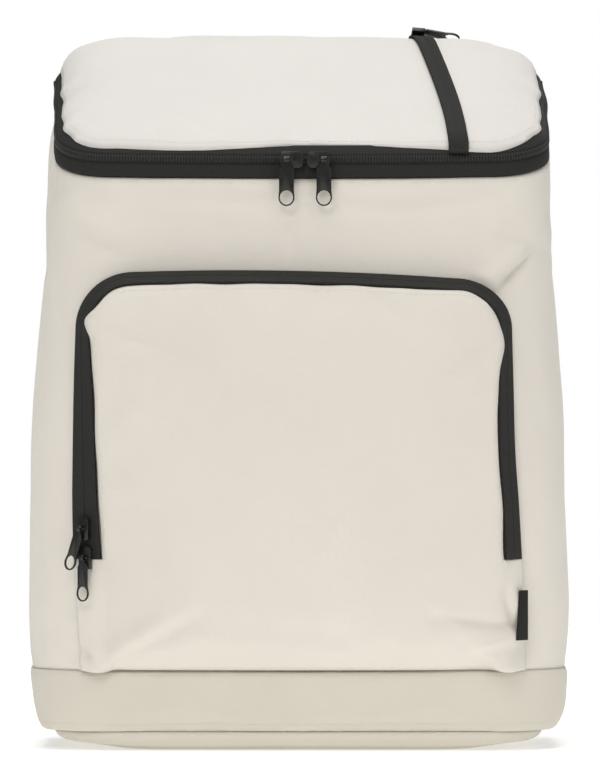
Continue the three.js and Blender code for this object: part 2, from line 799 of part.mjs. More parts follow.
function fromManifold(body) {
  const mesh = body.getMesh();
  const geometry = new THREE.BufferGeometry();
  geometry.setAttribute("position", new THREE.BufferAttribute(mesh.vertProperties, 3));
  geometry.setIndex(new THREE.BufferAttribute(mesh.triVerts, 1));
  return geometry;
}

const slab = (x, y, z) => toManifold(new THREE.BoxGeometry(x, y, z));

// The bar's axis above the slider's underside.
const barHeight = (size) =>
  size.bodyThickness + knuckleWall + size.barSize * Math.SQRT1_2 + 2 * hingeClearance;

// A zip slider, with x along its hinge bar, y up its body and z away from the cloth.
// alongBar is 1 or -1 where the chain runs along the bar, with the nose towards +x or -x,
// and 0 where it runs across. barShift moves the bar towards the tail.
function slider(size, alongBar) {
  const { bodyLength, bodyWidth, bodyThickness, barLength, barSize } = size;
  const nose = bodyWidth * 0.32;
  const shape = new THREE.Shape();
  shape.moveTo(-bodyWidth / 2, -bodyLength / 2);
  shape.lineTo(bodyWidth / 2, -bodyLength / 2);
  shape.lineTo(bodyWidth / 2, bodyLength / 2 - nose);
  shape.quadraticCurveTo(bodyWidth / 2, bodyLength / 2, 0, bodyLength / 2);
  shape.quadraticCurveTo(-bodyWidth / 2, bodyLength / 2, -bodyWidth / 2, bodyLength / 2 - nose);
  shape.closePath();
  const plate = new THREE.ExtrudeGeometry(shape, {
    depth: bodyThickness, bevelEnabled: false, curveSegments: 4,
  });
  if (alongBar) plate.rotateZ((-Math.PI / 2) * alongBar).translate(size.barShift * alongBar, 0, 0);
  const axis = barHeight(size);
  const post = barSize;
  const tall = axis + barSize / 2;
  let body = toManifold(plate);
  for (const side of [-1, 1]) {
    const x = side * (barLength / 2 + post / 2);
    body = body.add(slab(post, barSize * 1.5, tall - 1).translate([x, 0, (tall + 1) / 2]));
  }
  body = body.add(slab(barLength + 2 * post, barSize, barSize).translate([0, 0, axis]));
  return fromManifold(body);
}

// A pull that hangs along -y from a knuckle round the slider's bar, in the slider's axes
// with the bar's middle as origin.
function pull(size) {
  const { barLength, barSize, pullLength, shaftWidth, ringWidth, holeWidth, holeLength } = size;
  const inner = barSize * Math.SQRT1_2 + hingeClearance;
  const outer = inner + knuckleWall;
  const knuckleLength = barLength - 2 * knuckleEndPlay;
  const tube = (radius, length) => {
    const round = new THREE.Shape().absarc(0, 0, radius, 0, 2 * Math.PI, false);
    const rod = new THREE.ExtrudeGeometry(round, {
      depth: length, bevelEnabled: false, curveSegments: 6,
    });
    return toManifold(rod.translate(0, 0, -length / 2).rotateY(Math.PI / 2));
  };
  const rim = (ringWidth - holeWidth) / 2;
  const ringLength = holeLength / 2 + rim;
  const end = -(pullLength - ringLength);
  const neck = knuckleLength / 2;
  const shaft = shaftWidth / 2;
  const head = -(outer + pullShoulder);
  const shape = new THREE.Shape();
  shape.moveTo(-neck, 0);
  shape.lineTo(-neck, -outer);
  shape.lineTo(-shaft, head);
  shape.lineTo(-shaft, end + holeLength / 2);
  shape.lineTo(-ringWidth / 2, end);
  shape.absellipse(0, end, ringWidth / 2, ringLength, Math.PI, 2 * Math.PI, false);
  shape.lineTo(shaft, end + holeLength / 2);
  shape.lineTo(shaft, head);
  shape.lineTo(neck, -outer);
  shape.lineTo(neck, 0);
  shape.closePath();
  const hole = new THREE.Path();
  hole.absellipse(0, end, holeWidth / 2, holeLength / 2, 0, 2 * Math.PI, true);
  shape.holes.push(hole);
  const tab = new THREE.ExtrudeGeometry(shape, {
    depth: pullThickness, bevelEnabled: false, curveSegments: 6,
  });
  tab.translate(0, 0, -pullThickness / 2);
  const body = toManifold(tab).add(tube(outer, knuckleLength));
  return fromManifold(body.subtract(tube(inner, 2 * ringWidth)));
}

// Stands a slider and its pull on the cloth. bar is the direction of the hinge bar, away
// points off the cloth, and the pull hangs at tilt and droop degrees from the slider's -y.
function addZipPair(names, size, place, bar, away, alongBar, { tilt = 0, droop = 0 } = {}) {
  const across = new THREE.Vector3().crossVectors(away, bar).normalize();
  const group = new THREE.Group();
  const basis = new THREE.Matrix4().makeBasis(bar, across, away).setPosition(place);
  basis.decompose(group.position, group.quaternion, group.scale);
  addPiece(names.slider, slider(size, alongBar), zipMetal, group);
  const hung = addPiece(names.pull, pull(size), zipMetal, group);
  hung.position.z = barHeight(size);
  hung.rotation.set(THREE.MathUtils.degToRad(droop), 0, THREE.MathUtils.degToRad(tilt));
  bag.add(group);
}

// The lid's two sliders, nose to nose, each with a pull that hangs straight down.
function addLidSliders() {
  const size = lidHardware;
  const spacing = lidSlidersGap / 2 + size.bodyLength / 2 + size.barShift;
  const lift = coilBulge - tapeSetback + seamGap;
  [["left", -1], ["right", 1]].forEach(([side, sign]) => {
    const x = lidSlidersMeetX + sign * spacing;
    const y = wallFront(x, zipFrontHeight) - lift;
    addZipPair(
      { slider: `lid_slider_${side}`, pull: `lid_pull_${side}` },
      size, new THREE.Vector3(x, y, zipFrontHeight),
      new THREE.Vector3(1, 0, 0), front, -sign,
    );
  });
}

// The front pocket's two sliders, one above the other at the zip's left-hand end.
function addPocketSliders() {
  const size = pocketHardware;
  [["lower", 0, 0], ["upper", pocketSliderSpacing, -upperPullTilt]].forEach(([name, higher, tilt]) => {
    const z = lowerPocketSliderHeight + higher;
    const { wall, edge } = gussetAt(z, false);
    const bar = edge.clone().sub(wall).normalize();
    const away = new THREE.Vector3().crossVectors(bar, up).normalize();
    const place = wall.lerp(edge, chainShare).addScaledVector(away, seamGap * 2);
    addZipPair(
      { slider: `pocket_slider_${name}`, pull: `pocket_pull_${name}` },
      size, place, bar, away, 0, { tilt },
    );
  });
}

// The lid pocket's slider at the back end of its zip, with its pull lying to the right.
function addLidPocketSlider() {
  const size = pocketHardware;
  const share = lidPocketSliderShare;
  const lift = lidPocketLift + tapeThickness;
  const middle = onLid(share, 0, lift);
  const along = onLid(share - 0.06, 0, lift).sub(onLid(share + 0.06, 0, lift)).normalize();
  const right = onLid(share, 5, lift).sub(onLid(share, -5, lift)).normalize();
  const away = new THREE.Vector3().crossVectors(right, along).negate().normalize();
  const bar = along.clone().negate();
  const place = middle.addScaledVector(away, 2 * seamGap);
  addZipPair(
    { slider: "lid_pocket_slider", pull: "lid_pocket_pull" },
    size, place, bar, away, 1, { droop: lidPocketPullDroop },
  );
}

// A flat band with rounded edges that follows points. across keeps its width sideways.
function band(points, widths, thicknesses, edge = 0.35) {
  const rows = points.map((p, i) => {
    const before = points[Math.max(i - 1, 0)];
    const after = points[Math.min(i + 1, points.length - 1)];
    const along = after.clone().sub(before).normalize();
    const across = new THREE.Vector3(1, 0, 0).addScaledVector(along, -along.x).normalize();
    const outward = new THREE.Vector3().crossVectors(across, along);
    const a = widths[i] / 2;
    const b = thicknesses[i] / 2;
    const c = a - b * (1 - edge);
    const section = [
      [c, b], [a, b * edge], [a, -b * edge], [c, -b],
      [-c, -b], [-a, -b * edge], [-a, b * edge], [-c, b],
    ];
    return section.map(([u, v]) =>
      p.clone().addScaledVector(across, u).addScaledVector(outward, v),
    );
  });
  const count = rows[0].length;
  const faces = [];
  for (let i = 0; i + 1 < rows.length; i++) {
    for (let j = 0; j < count; j++) {
      const a = i * count + j;
      const b = i * count + ((j + 1) % count);
      faces.push([a, b, b + count], [a, b + count, a + count]);
    }
  }
  const last = (rows.length - 1) * count;
  for (let j = 1; j + 1 < count; j++) {
    faces.push([0, j + 1, j], [last, last + j, last + j + 1]);
  }
  return solid(rows.flat(), faces);
}

// The back panel's outer face at a place on it.
function panelBack(x, z) {
  const middle = backPanelTop / 2;
  const ring = Math.max(Math.abs(x) / outlineAt(z).half, Math.abs(z - middle) / middle);
  return backPlane + backPuffAt(Math.min(ring, 1));
}

const anchorX = bagWidth / 2 - anchorFromSide;

// A strap on one side, and the direction from its end to where its webbing meets the panel.
function strapLine(sign) {
  const contact = tongueThickness / 2 + seamGap;
  const rows = strapRows.map(({ across, rise, standoff }) => {
    const x = mix(strapTopX, strapBottomX, across);
    const z = mix(strapBottomHeight, strapTopHeight, rise);
    return new THREE.Vector3(sign * x, panelBack(x, z) + contact + strapBelly * standoff, z);
  });
  const points = new THREE.CatmullRomCurve3(rows).getSpacedPoints(strapSteps);
  const end = points[strapSteps];
  const anchor = new THREE.Vector3(
    sign * anchorX, panelBack(anchorX, anchorHeight), anchorHeight,
  );
  const along = anchor.clone().sub(end).normalize();
  points.push(end.clone().addScaledVector(along, strapTaper));
  points.push(end.clone().addScaledVector(along, strapTaper + tongueLength));
  return { points, along, anchor };
}

function strapPad({ points }) {
  const last = points.length - 1;
  const widths = points.map((_, i) =>
    i > strapSteps ? tongueWidth : mix(strapTopWidth, strapBottomWidth, i / strapSteps),
  );
  const thicknesses = points.map((_, i) =>
    i < 2 || i > last - 2 ? tongueThickness : strapThickness,
  );
  return band(points, widths, thicknesses);
}

// A ribbon as wide as the webbing that follows points [out, along] on edge, in the frame of
// a strap's end: out stands off its face, along runs down towards the anchor.
function ribbon(path, width = webbingWidth, thickness = webbingThickness) {
  const side = (sign) =>
    path.map(([px, py], i) => {
      const [ax, ay] = path[Math.max(i - 1, 0)];
      const [bx, by] = path[Math.min(i + 1, path.length - 1)];
      const length = Math.hypot(bx - ax, by - ay);
      const reach = (sign * thickness) / 2 / length;
      return new THREE.Vector2(px - (by - ay) * reach, py + (bx - ax) * reach);
    });
  const shape = new THREE.Shape([...side(1), ...side(-1).reverse()]);
  const geometry = new THREE.ExtrudeGeometry(shape, { depth: width, bevelEnabled: false });
  return geometry.translate(0, 0, -width / 2);
}

// A half turn round a bar, from one side to the other, as points for a ribbon.
function halfTurn(radius, along, towards) {
  const points = [];
  for (let i = 0; i <= 8; i++) {
    const angle = (Math.PI * i) / 8;
    points.push([radius * Math.cos(angle), along + towards * radius * Math.sin(angle)]);
  }
  return points;
}

// A ladder buckle: a frame with two slots, its top bar at along 0.
function buckle() {
  const slotLength = (buckleLength - 3 * buckleBar) / 2;
  const slot = slab(2 * buckleThickness, slotLength, buckleWidth - 2 * buckleBar);
  const firstSlot = (buckleBar + slotLength) / 2;
  const secondSlot = firstSlot + buckleBar + slotLength;
  const frame = slab(buckleThickness, buckleLength, buckleWidth)
    .translate([0, (buckleLength - buckleBar) / 2, 0])
    .subtract(slot.translate([0, firstSlot, 0]))
    .subtract(slot.translate([0, secondSlot, 0]));
  return fromManifold(frame);
}

// One shoulder strap with its webbing, buckle and the tab that holds it at the bottom.
function addStrap(side, sign) {
  const strap = strapLine(sign);
  addPiece(`shoulder_strap_${side}`, strapPad(strap), cloth);
  const { along, anchor } = strap;
  const tongueEnd = strap.points[strap.points.length - 1];
  const across = new THREE.Vector3(1, 0, 0).addScaledVector(along, -along.x).normalize();
  const out = new THREE.Vector3().crossVectors(along, across).normalize();
  if (out.y < 0) out.negate();
  const deep = new THREE.Vector3().crossVectors(out, along);
  const frame = new THREE.Matrix4().makeBasis(out, along, deep);

  // The upper webbing folds over the tongue and round the buckle's top bar.
  const leg = (tongueThickness + webbingThickness) / 2 + seamGap;
  const barAt = leg + buckleBar / 2 + 2 * seamGap;
  const upper = [
    [leg, -tongueLength + 1], ...halfTurn(leg, barAt, 1), [-leg, -tongueLength + 1],
  ];
  const hardware = new THREE.Group();
  frame.clone().setPosition(tongueEnd).decompose(
    hardware.position, hardware.quaternion, hardware.scale,
  );
  bag.add(hardware);
  addPiece(`strap_webbing_upper_${side}`, ribbon(upper), webbing, hardware);
  addPiece(`strap_buckle_${side}`, buckle().translate(0, barAt, 0), plastic, hardware);

  // The lower webbing comes up from the tab, over the middle bar and hangs down in front.
  const middleBar = barAt + (buckleLength - buckleBar) / 2;
  const turn = Math.hypot(buckleBar, buckleThickness) / 2 + webbingThickness / 2 + seamGap;
  const toPanel = anchor.clone().sub(tongueEnd).length();
  const clear = anchorTabThickness + seamGap;
  const tail = [1, 0.75, 0.5, 0.25].map((share) => [
    turn + tailHang * share ** 2, middleBar + tailLength * share,
  ]);
  const lower = [...tail, ...halfTurn(turn, middleBar, -1), [-turn, toPanel - webbingStop]];
  addPiece(`strap_webbing_lower_${side}`, ribbon(lower), webbing, hardware);

  // The tab lies under the webbing's end and is trimmed where it meets the panel.
  const tabOut = -turn - webbingThickness / 2 - clear + anchorTabThickness / 2;
  const tab = new THREE.BoxGeometry(anchorTabThickness, 2 * anchorTabLength, anchorTabWidth);
  tab.translate(tabOut, toPanel, 0).applyMatrix4(hardware.matrix.compose(
    hardware.position, hardware.quaternion, hardware.scale,
  ));
  const keepFrom = panelBack(anchorX - anchorTabWidth, anchorHeight) + seamGap;
  const kept = slab(bagWidth, bodyDepth, zipBackHeight).translate([
    0, keepFrom + bodyDepth / 2, anchorHeight,
  ]);
  addPiece(`strap_anchor_${side}`, fromManifold(toManifold(tab).intersect(kept)), cloth);
}

addPiece("bottom_pad", bottomPad(), cloth);
addPiece("base_band", baseBand(), cloth);
addPiece("front_and_side_wall", frontAndSideWall(), cloth);
addPiece("back_panel", backPanel(), cloth);
addPiece("lid", lid(), cloth);
addPiece("lid_zip_lower_tape", lidZipLowerTape(), zipTape);
addPiece("lid_zip_coil", lidZipCoil(), zipTape);
addPiece("lid_zip_upper_tape", lidZipUpperTape(), zipTape);
addPiece("lid_pocket_tape_left", lidPocketTape(-1), zipTape);
addPiece("lid_pocket_tape_right", lidPocketTape(1), zipTape);
addPiece("pocket_face", pocketFace(), cloth);
addPiece("pocket_tape_outer", pocketTape(0, chainShare - chainHalfShare), zipTape);
addPiece("pocket_tape_inner", pocketTape(chainShare + chainHalfShare, 1), zipTape);
addPiece(
  "pocket_gusset_left", gussetStrip(0, zipFrom, 0, 1, clothThickness, -seamGap), cloth,
);
addPiece(
  "pocket_gusset_right",
  gussetStrip(zipTo, outerArch.length - 1, 0, 1, clothThickness, -seamGap), cloth,
);
addRibbonTab();
addLidSliders();
addPocketSliders();
addLidPocketSlider();
["left", "right"].forEach((side, i) => addStrap(side, i === 0 ? -1 : 1));

export default bag;
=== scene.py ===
import json
import math

import bmesh
import bpy
import numpy as np
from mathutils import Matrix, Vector
from mathutils.bvhtree import BVHTree
from mathutils.kdtree import KDTree

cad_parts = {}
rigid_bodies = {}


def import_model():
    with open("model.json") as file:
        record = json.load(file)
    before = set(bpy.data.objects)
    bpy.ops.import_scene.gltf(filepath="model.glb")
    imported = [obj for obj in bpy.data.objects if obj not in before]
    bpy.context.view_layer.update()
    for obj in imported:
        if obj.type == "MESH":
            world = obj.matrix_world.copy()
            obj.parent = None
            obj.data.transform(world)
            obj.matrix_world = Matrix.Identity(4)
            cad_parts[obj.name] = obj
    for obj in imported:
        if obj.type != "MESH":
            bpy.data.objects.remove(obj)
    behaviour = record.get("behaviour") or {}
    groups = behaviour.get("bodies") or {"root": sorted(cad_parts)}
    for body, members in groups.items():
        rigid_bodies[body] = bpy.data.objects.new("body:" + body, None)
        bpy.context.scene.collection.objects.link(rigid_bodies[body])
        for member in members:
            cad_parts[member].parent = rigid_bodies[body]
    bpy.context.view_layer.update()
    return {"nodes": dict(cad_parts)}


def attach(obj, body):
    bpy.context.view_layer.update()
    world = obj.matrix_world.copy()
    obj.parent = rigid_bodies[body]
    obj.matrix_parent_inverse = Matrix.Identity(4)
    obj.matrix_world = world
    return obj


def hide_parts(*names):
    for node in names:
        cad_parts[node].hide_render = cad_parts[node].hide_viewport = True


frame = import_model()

bl_info = {
    "name": "Cooler backpack",
    "version": (1, 0, 0),
    "blender": (4, 5, 0),
    "location": "3D View > Sidebar > Backpack",
    "description": "Dresses the cooler backpack's frame in cloth, zips, webbing and stitches",
    "category": "Add Mesh",
}

BAG = "bag"
MM = 0.001
FLOOR_RADIUS = 1.7

# The bag's sizes in millimetres, as in the frame's own source.
BAG_WIDTH = 315.6
BODY_DEPTH = 160
ZIP_FRONT = 344
ZIP_BACK = 390
ZIP_RISE_CURVE = 1.1
CORNER_BASE = 50
CORNER_TOP = 38
FRONT_BOW = 4
WALL = 7
BACK_PANEL = 12
SEAM_GAP = 0.3
BAND_TOP = 47
PAD_HEIGHT = 10.5
BAND_TUCK = 8.4
PAD_NARROWER = 0.953
PAD_PROUD = 1.2
PAD_OVERLAP = 0.7
PAD_EDGE = 12
PAD_EDGE_LIFT = 2.4
PAD_END_LIFT = 2.0
WALL_SWELL = 1.0
STRAP_STITCH_INSET = 4.5
LID_CROWN_FRONT = 6
LID_CROWN_BACK = 29.2
LID_EDGE_ROUND = 3.6
LID_RIGHT_SLUMP = 1.9
PANEL_TOP = 396
PANEL_CORNER = 14
PANEL_PUFF = 2.5
LID_BACK_SETBACK = 1.5
LID_BACK_CORNER = 11
TAPE = 1.2
LOWER_TAPE = 8.2
UPPER_TAPE = 5.8
UPPER_LEAN = 4.2
COIL = 4.4
COIL_BULGE = 1.2
TAPE_SETBACK = 0.5
LID_POCKET_X = (92, 70)
LID_POCKET_SETBACK = (7, 5)
LID_POCKET_TAPE = 5.6
LID_POCKET_LIFT = 1.0
POCKET_HALF = 131.5
POCKET_TOP = 279.5
POCKET_TOP_SAG = 1.8
POCKET_TOP_CROWN = 2.5
POCKET_CORNER = 34
POCKET_ZIP_END = 112
GUSSET = 16.5
GUSSET_TOP_INSET = 0.38
PLATEAU = 14
BULGE = 8
EDGE_GAP = 1.6
CLOTH = 1.8
HEM_SAG = 4.5
HEM_SAG_HEIGHT = 59


def rows(columns, *values):
    """A short table as a list of rows with named columns."""
    return [dict(zip(columns.split(), row)) for row in values]


BODY_OUTLINE = rows(
    "height width front",
    (0.0, 0.995, 1.0), (0.12, 0.995, 1.0), (0.19, 1.0, 1.0), (0.25, 0.997, 1.0),
    (0.37, 0.987, 1.0), (0.49, 0.98, 0.997), (0.61, 0.961, 0.99), (0.73, 0.938, 0.98),
    (0.88, 0.932, 0.965), (0.95, 0.916, 0.96), (1.06, 0.906, 0.955),
)
BAND_PROFILE = rows(
    "height tuck",
    (0.0, 1.0), (0.04, 0.76), (0.12, 0.56), (0.24, 0.38), (0.38, 0.24), (0.62, 0.11), (1.0, 0.0),
)
POCKET_SIDES = rows(
    "height left right leftInset rightInset",
    (0.0, 0.966, 1.006, 0.97, 0.84), (0.1, 0.976, 1.002, 0.97, 0.7),
    (0.28, 0.994, 0.988, 0.95, 0.56), (0.42, 1.0, 0.974, 0.85, 0.52),
    (0.55, 0.998, 0.958, 0.76, 0.52), (0.72, 0.993, 0.95, 0.61, 0.47),
    (0.85, 0.986, 0.944, 0.46, 0.38), (1.0, 0.978, 0.94, 0.4, 0.38),
)

# Creases pressed into the cloth: from one point to another on the front, in millimetres,
# with their width and depth. Depth is negative for a ridge.
POCKET_CREASES = rows(
    "x0 z0 x1 z1 width depth",
    (-113, 47, -60, 77, 7, 2.6),
    (-112, 54, -66, 84, 7, -1.6),
    (-126, 60, -121, 54, 4, 4.0),
    (125, 73, 82, 78, 6, 3.4),
    (126, 68, 92, 58, 6, -2.6),
    (120, 92, 125, 74, 3.5, 2.0),
    (100, 48, 120, 52, 5, 1.6),
    (-30, 70, 60, 64, 12, 1.1),
    (40, 122, 100, 78, 14, 1.2),
    (-104, 122, -72, 98, 12, 1.0),
    (-100, 250, -50, 218, 13, 1.2),
    (-122, 250, -84, 236, 7, 1.6),
    (116, 234, 84, 218, 8, 1.6),
    (30, 262, 104, 240, 12, 0.9),
    (-60, 180, 20, 150, 18, 0.8),
)
WALL_CREASES = rows(
    "x0 z0 x1 z1 width depth",
    (113, 266, 135, 288, 5, 4.2),
    (100, 273, 114, 267, 4, 2.4),
    (120, 300, 142, 292, 7, 1.4),
    (-136, 304, -108, 290, 8, 1.5),
    (-142, 262, -132, 238, 6, 1.3),
    (-70, 322, 50, 316, 7, 1.1),
    (50, 314, 118, 322, 7, 1.0),
    (134, 220, 146, 180, 8, 1.1),
    (132, 110, 148, 80, 8, 1.2),
    (-146, 150, -134, 110, 9, 1.0),
)

# How far the lid zip and what meets it are drawn in, from the back (0) to the front's middle (1)
ZIP_TUCK = rows(
    "along left right",
    (0.0, -1.4, -0.8), (0.1, -0.3, -1.9), (0.2, 1.0, -1.9), (0.36, 2.9, -0.6), (0.45, 4.3, 0.0),
    (0.54, 4.4, 0.6), (0.63, 1.6, 0.7), (0.72, 0.2, 0.1), (1.0, 0.0, 0.0),
)
# How far the lid's cloth hangs down over its tape in front, across the bag
LID_HANG = rows(
    "x hang",
    (-140, 3.6), (-128, 3.6), (-116, 2.9), (-104, 2.5), (-92, 3.0), (-70, 3.2), (-50, 2.8),
    (-30, 1.4), (-10, 0.4), (20, 0.0), (45, 0.3), (60, 1.2), (78, 2.4), (100, 4.5), (112, 5.2),
    (124, 4.9), (132, 4.0), (140, 2.6),
)
TUCK_REACH = 34
# Where the pocket's cloth is drawn over its zip: place and how far
PINCHES = rows("x z radius lap", (-122, 250, 5.5, 5.0), (118, 236, 9, 4.4), (98, 266, 7, 1.8))
# Where the pocket's bottom corners bulge over the base band
EARS = rows("x z radius out down side", (-117, 50, 8.5, 4.2, 1.8, 0.4), (122, 50, 8, 4.2, 1.6, 0))

# How finely the cloth is cut
SIDE_STEPS = 24
CORNER_STEPS = 12
FRONT_STEPS = 40
PATCH_STEPS = 52
ARCH_CORNER = 16

BACK = BODY_DEPTH / 2
FRONT = -BODY_DEPTH / 2
SIDE_END = BACK - BACK_PANEL - SEAM_GAP
WALL_RIM = -(COIL / 2 + LOWER_TAPE + 2 * SEAM_GAP)
LOWER_TAPE_TOP = -(COIL / 2 + SEAM_GAP)
UPPER_TAPE_BOTTOM = COIL / 2 + SEAM_GAP
LID_RISE = UPPER_TAPE_BOTTOM + UPPER_TAPE + SEAM_GAP
LID_INSET = TAPE_SETBACK + UPPER_LEAN
LID_BACK_Y = BACK - LID_BACK_SETBACK
LID_BACK_Z = PANEL_TOP + 2 * SEAM_GAP


# Shapes of the bag, in millimetres


def mix(a, b, share):
    return a + (b - a) * share


def from_table(table, column, height):
    """Smooth values from a table whose rows rise in their first column."""
    at = np.array([next(iter(row.values())) for row in table])
    value = np.array([row[column] for row in table])
    slope = np.empty_like(value)
    slope[1:-1] = (value[2:] - value[:-2]) / (at[2:] - at[:-2])
    slope[0] = (value[1] - value[0]) / (at[1] - at[0])
    slope[-1] = (value[-1] - value[-2]) / (at[-1] - at[-2])
    h = np.clip(np.asarray(height, float), at[0], at[-1])
    k = np.clip(np.searchsorted(at, h, side="right") - 1, 0, len(at) - 2)
    span = at[k + 1] - at[k]
    t = (h - at[k]) / span
    return (
        (2 * t**3 - 3 * t**2 + 1) * value[k]
        + (t**3 - 2 * t**2 + t) * slope[k] * span
        + (3 * t**2 - 2 * t**3) * value[k + 1]
        + (t**3 - t**2) * slope[k + 1] * span
    )


def outline_at(z):
    """Half width, front face and corner radius of the body at each height."""
    share = np.asarray(z, float) / ZIP_BACK
    return (
        BAG_WIDTH / 2 * from_table(BODY_OUTLINE, "width", share),
        FRONT * from_table(BODY_OUTLINE, "front", share),
        mix(CORNER_BASE, CORNER_TOP, np.clip(np.asarray(z) / ZIP_FRONT, 0, 1)),
    )


def plan_columns():
    """Every column of the plan from the back left round the front: which part, how far, side."""
    left = [("side", i / SIDE_STEPS, -1) for i in range(SIDE_STEPS)]
    left += [("corner", i / CORNER_STEPS, -1) for i in range(CORNER_STEPS)]
    front = [("front", -1 + 2 * i / FRONT_STEPS, 0) for i in range(FRONT_STEPS + 1)]
    right = [(part, t, 1) for part, t, _ in reversed(left)]
    return left + front + right


COLUMNS = plan_columns()


def zip_tuck():
    half = (len(COLUMNS) - 1) / 2
    along = 1 - np.abs(np.arange(len(COLUMNS)) - half) / half
    left = np.arange(len(COLUMNS)) < half
    wave = 0.35 * np.sin(along * 31) * np.clip(1.4 - 2 * along, 0, 1)
    return wave + np.where(
        left, from_table(ZIP_TUCK, "left", along), from_table(ZIP_TUCK, "right", along)
    )


TUCK = zip_tuck()


def plan(z, inset=0.0):
    """Outline points and outward directions, one for each column, at that column's height."""
    z = np.broadcast_to(np.asarray(z, float), len(COLUMNS))
    inset = np.broadcast_to(np.asarray(inset, float), len(COLUMNS))
    half, front, radius = outline_at(z)
    points = np.zeros((len(COLUMNS), 3))
    out = np.zeros((len(COLUMNS), 3))
    for j, (part, t, sign) in enumerate(COLUMNS):
        if part == "side":
            place, way = (sign * half[j], mix(SIDE_END, front[j] + radius[j], t)), (sign, 0)
        elif part == "corner":
            angle = math.pi / 2 * t
            way = (sign * math.cos(angle), -math.sin(angle))
            place = (
                sign * (half[j] - radius[j]) + radius[j] * way[0],
                front[j] + radius[j] + radius[j] * way[1],
            )
        else:
            place = (t * (half[j] - radius[j]), front[j] - FRONT_BOW * (1 - t * t))
            way = (0, -1)
        out[j] = (*way, 0)
        points[j] = (place[0] - way[0] * inset[j], place[1] - way[1] * inset[j], z[j])
    return points, out


def wall_front(x, z):
    """The front wall's outer face."""
    x, z = np.asarray(x, float), np.asarray(z, float)
    half, front, radius = outline_at(z)
    flat = half - radius
    past = np.clip(np.abs(x) - flat, 0, radius)
    bowed = front - FRONT_BOW * (1 - (x / flat) ** 2)
    rounded = front + radius - np.sqrt(np.maximum(radius**2 - past**2, 0))
    return np.where(np.abs(x) <= flat, bowed, rounded)


ZIP_START = float(outline_at(ZIP_FRONT)[1]) - FRONT_BOW


def zip_height(y):
    share = np.clip((np.asarray(y, float) - ZIP_START) / (SIDE_END - ZIP_START), 0, 1)
    return mix(ZIP_FRONT, ZIP_BACK, share**ZIP_RISE_CURVE)


ZIP_AT = zip_height(plan(ZIP_FRONT)[0][:, 1])


def lid_lap():
    """How far the lid's cloth laps over its tape: more along the sides, unevenly."""
    along = 1 - np.abs(np.linspace(-1, 1, len(COLUMNS)))
    side = np.clip((0.6 - along) / 0.15, 0, 1)
    uneven = 0.45 * np.sin(along * 44) + 0.3 * np.sin(along * 71 + 1)
    return 0.3 + side * (1.5 + uneven)


def lid_edge():
    """The lid's closed edge: along the zip, then over the back panel."""
    along = 1 - np.abs(np.linspace(-1, 1, len(COLUMNS)))
    in_front = np.clip((along - 0.5) / 0.12, 0, 1)
    hang = in_front * from_table(LID_HANG, "hang", plan(ZIP_AT)[0][:, 0])
    over = np.clip(hang / 0.8, 0, 1) + UPPER_LEAN * hang / UPPER_TAPE
    edge = plan(ZIP_AT + LID_RISE - hang, LID_INSET + TUCK - lid_lap() - over)[0]
    side = edge[-1]
    corner = []
    for i in range(1, 7):
        angle = math.pi / 2 * i / 6
        corner.append([
            side[0] - LID_BACK_CORNER * (1 - math.cos(angle)),
            mix(side[1], LID_BACK_Y, math.sin(angle)),
            mix(side[2], LID_BACK_Z, math.sin(angle)),
        ])
    half = side[0] - LID_BACK_CORNER
    back = [[mix(half, -half, i / 40), LID_BACK_Y, LID_BACK_Z] for i in range(1, 40)]
    other = [[-x, y, z] for x, y, z in reversed(corner)]
    return np.array([*edge, *corner, *back, *other])


LID_EDGE = lid_edge()


def lid_ring(x, y):
    """How far out a place on the lid is, from its middle to its edge."""
    angle = np.arctan2(y, x)
    edge_angle = np.arctan2(LID_EDGE[:, 1], LID_EDGE[:, 0])
    order = np.argsort(edge_angle)
    reach = np.hypot(LID_EDGE[:, 0], LID_EDGE[:, 1])[order]
    edge = np.interp(angle, edge_angle[order], reach, period=2 * math.pi)
    return np.hypot(x, y) / edge


def lid_height(x, y, ring):
    past = np.clip((y - SIDE_END) / (LID_BACK_Y - SIDE_END), 0, 1)
    base = mix(zip_height(y) + LID_RISE, LID_BACK_Z, past)
    depth = np.clip((y - FRONT) / (LID_BACK_Y - FRONT), 0, 1)
    crown = mix(LID_CROWN_FRONT, LID_CROWN_BACK, depth)
    power = LID_EDGE_ROUND - LID_RIGHT_SLUMP * np.clip(x / (BAG_WIDTH / 2), 0, 1) ** 2
    return base + crown * np.sqrt(np.maximum(0, 1 - np.minimum(ring, 1) ** power))


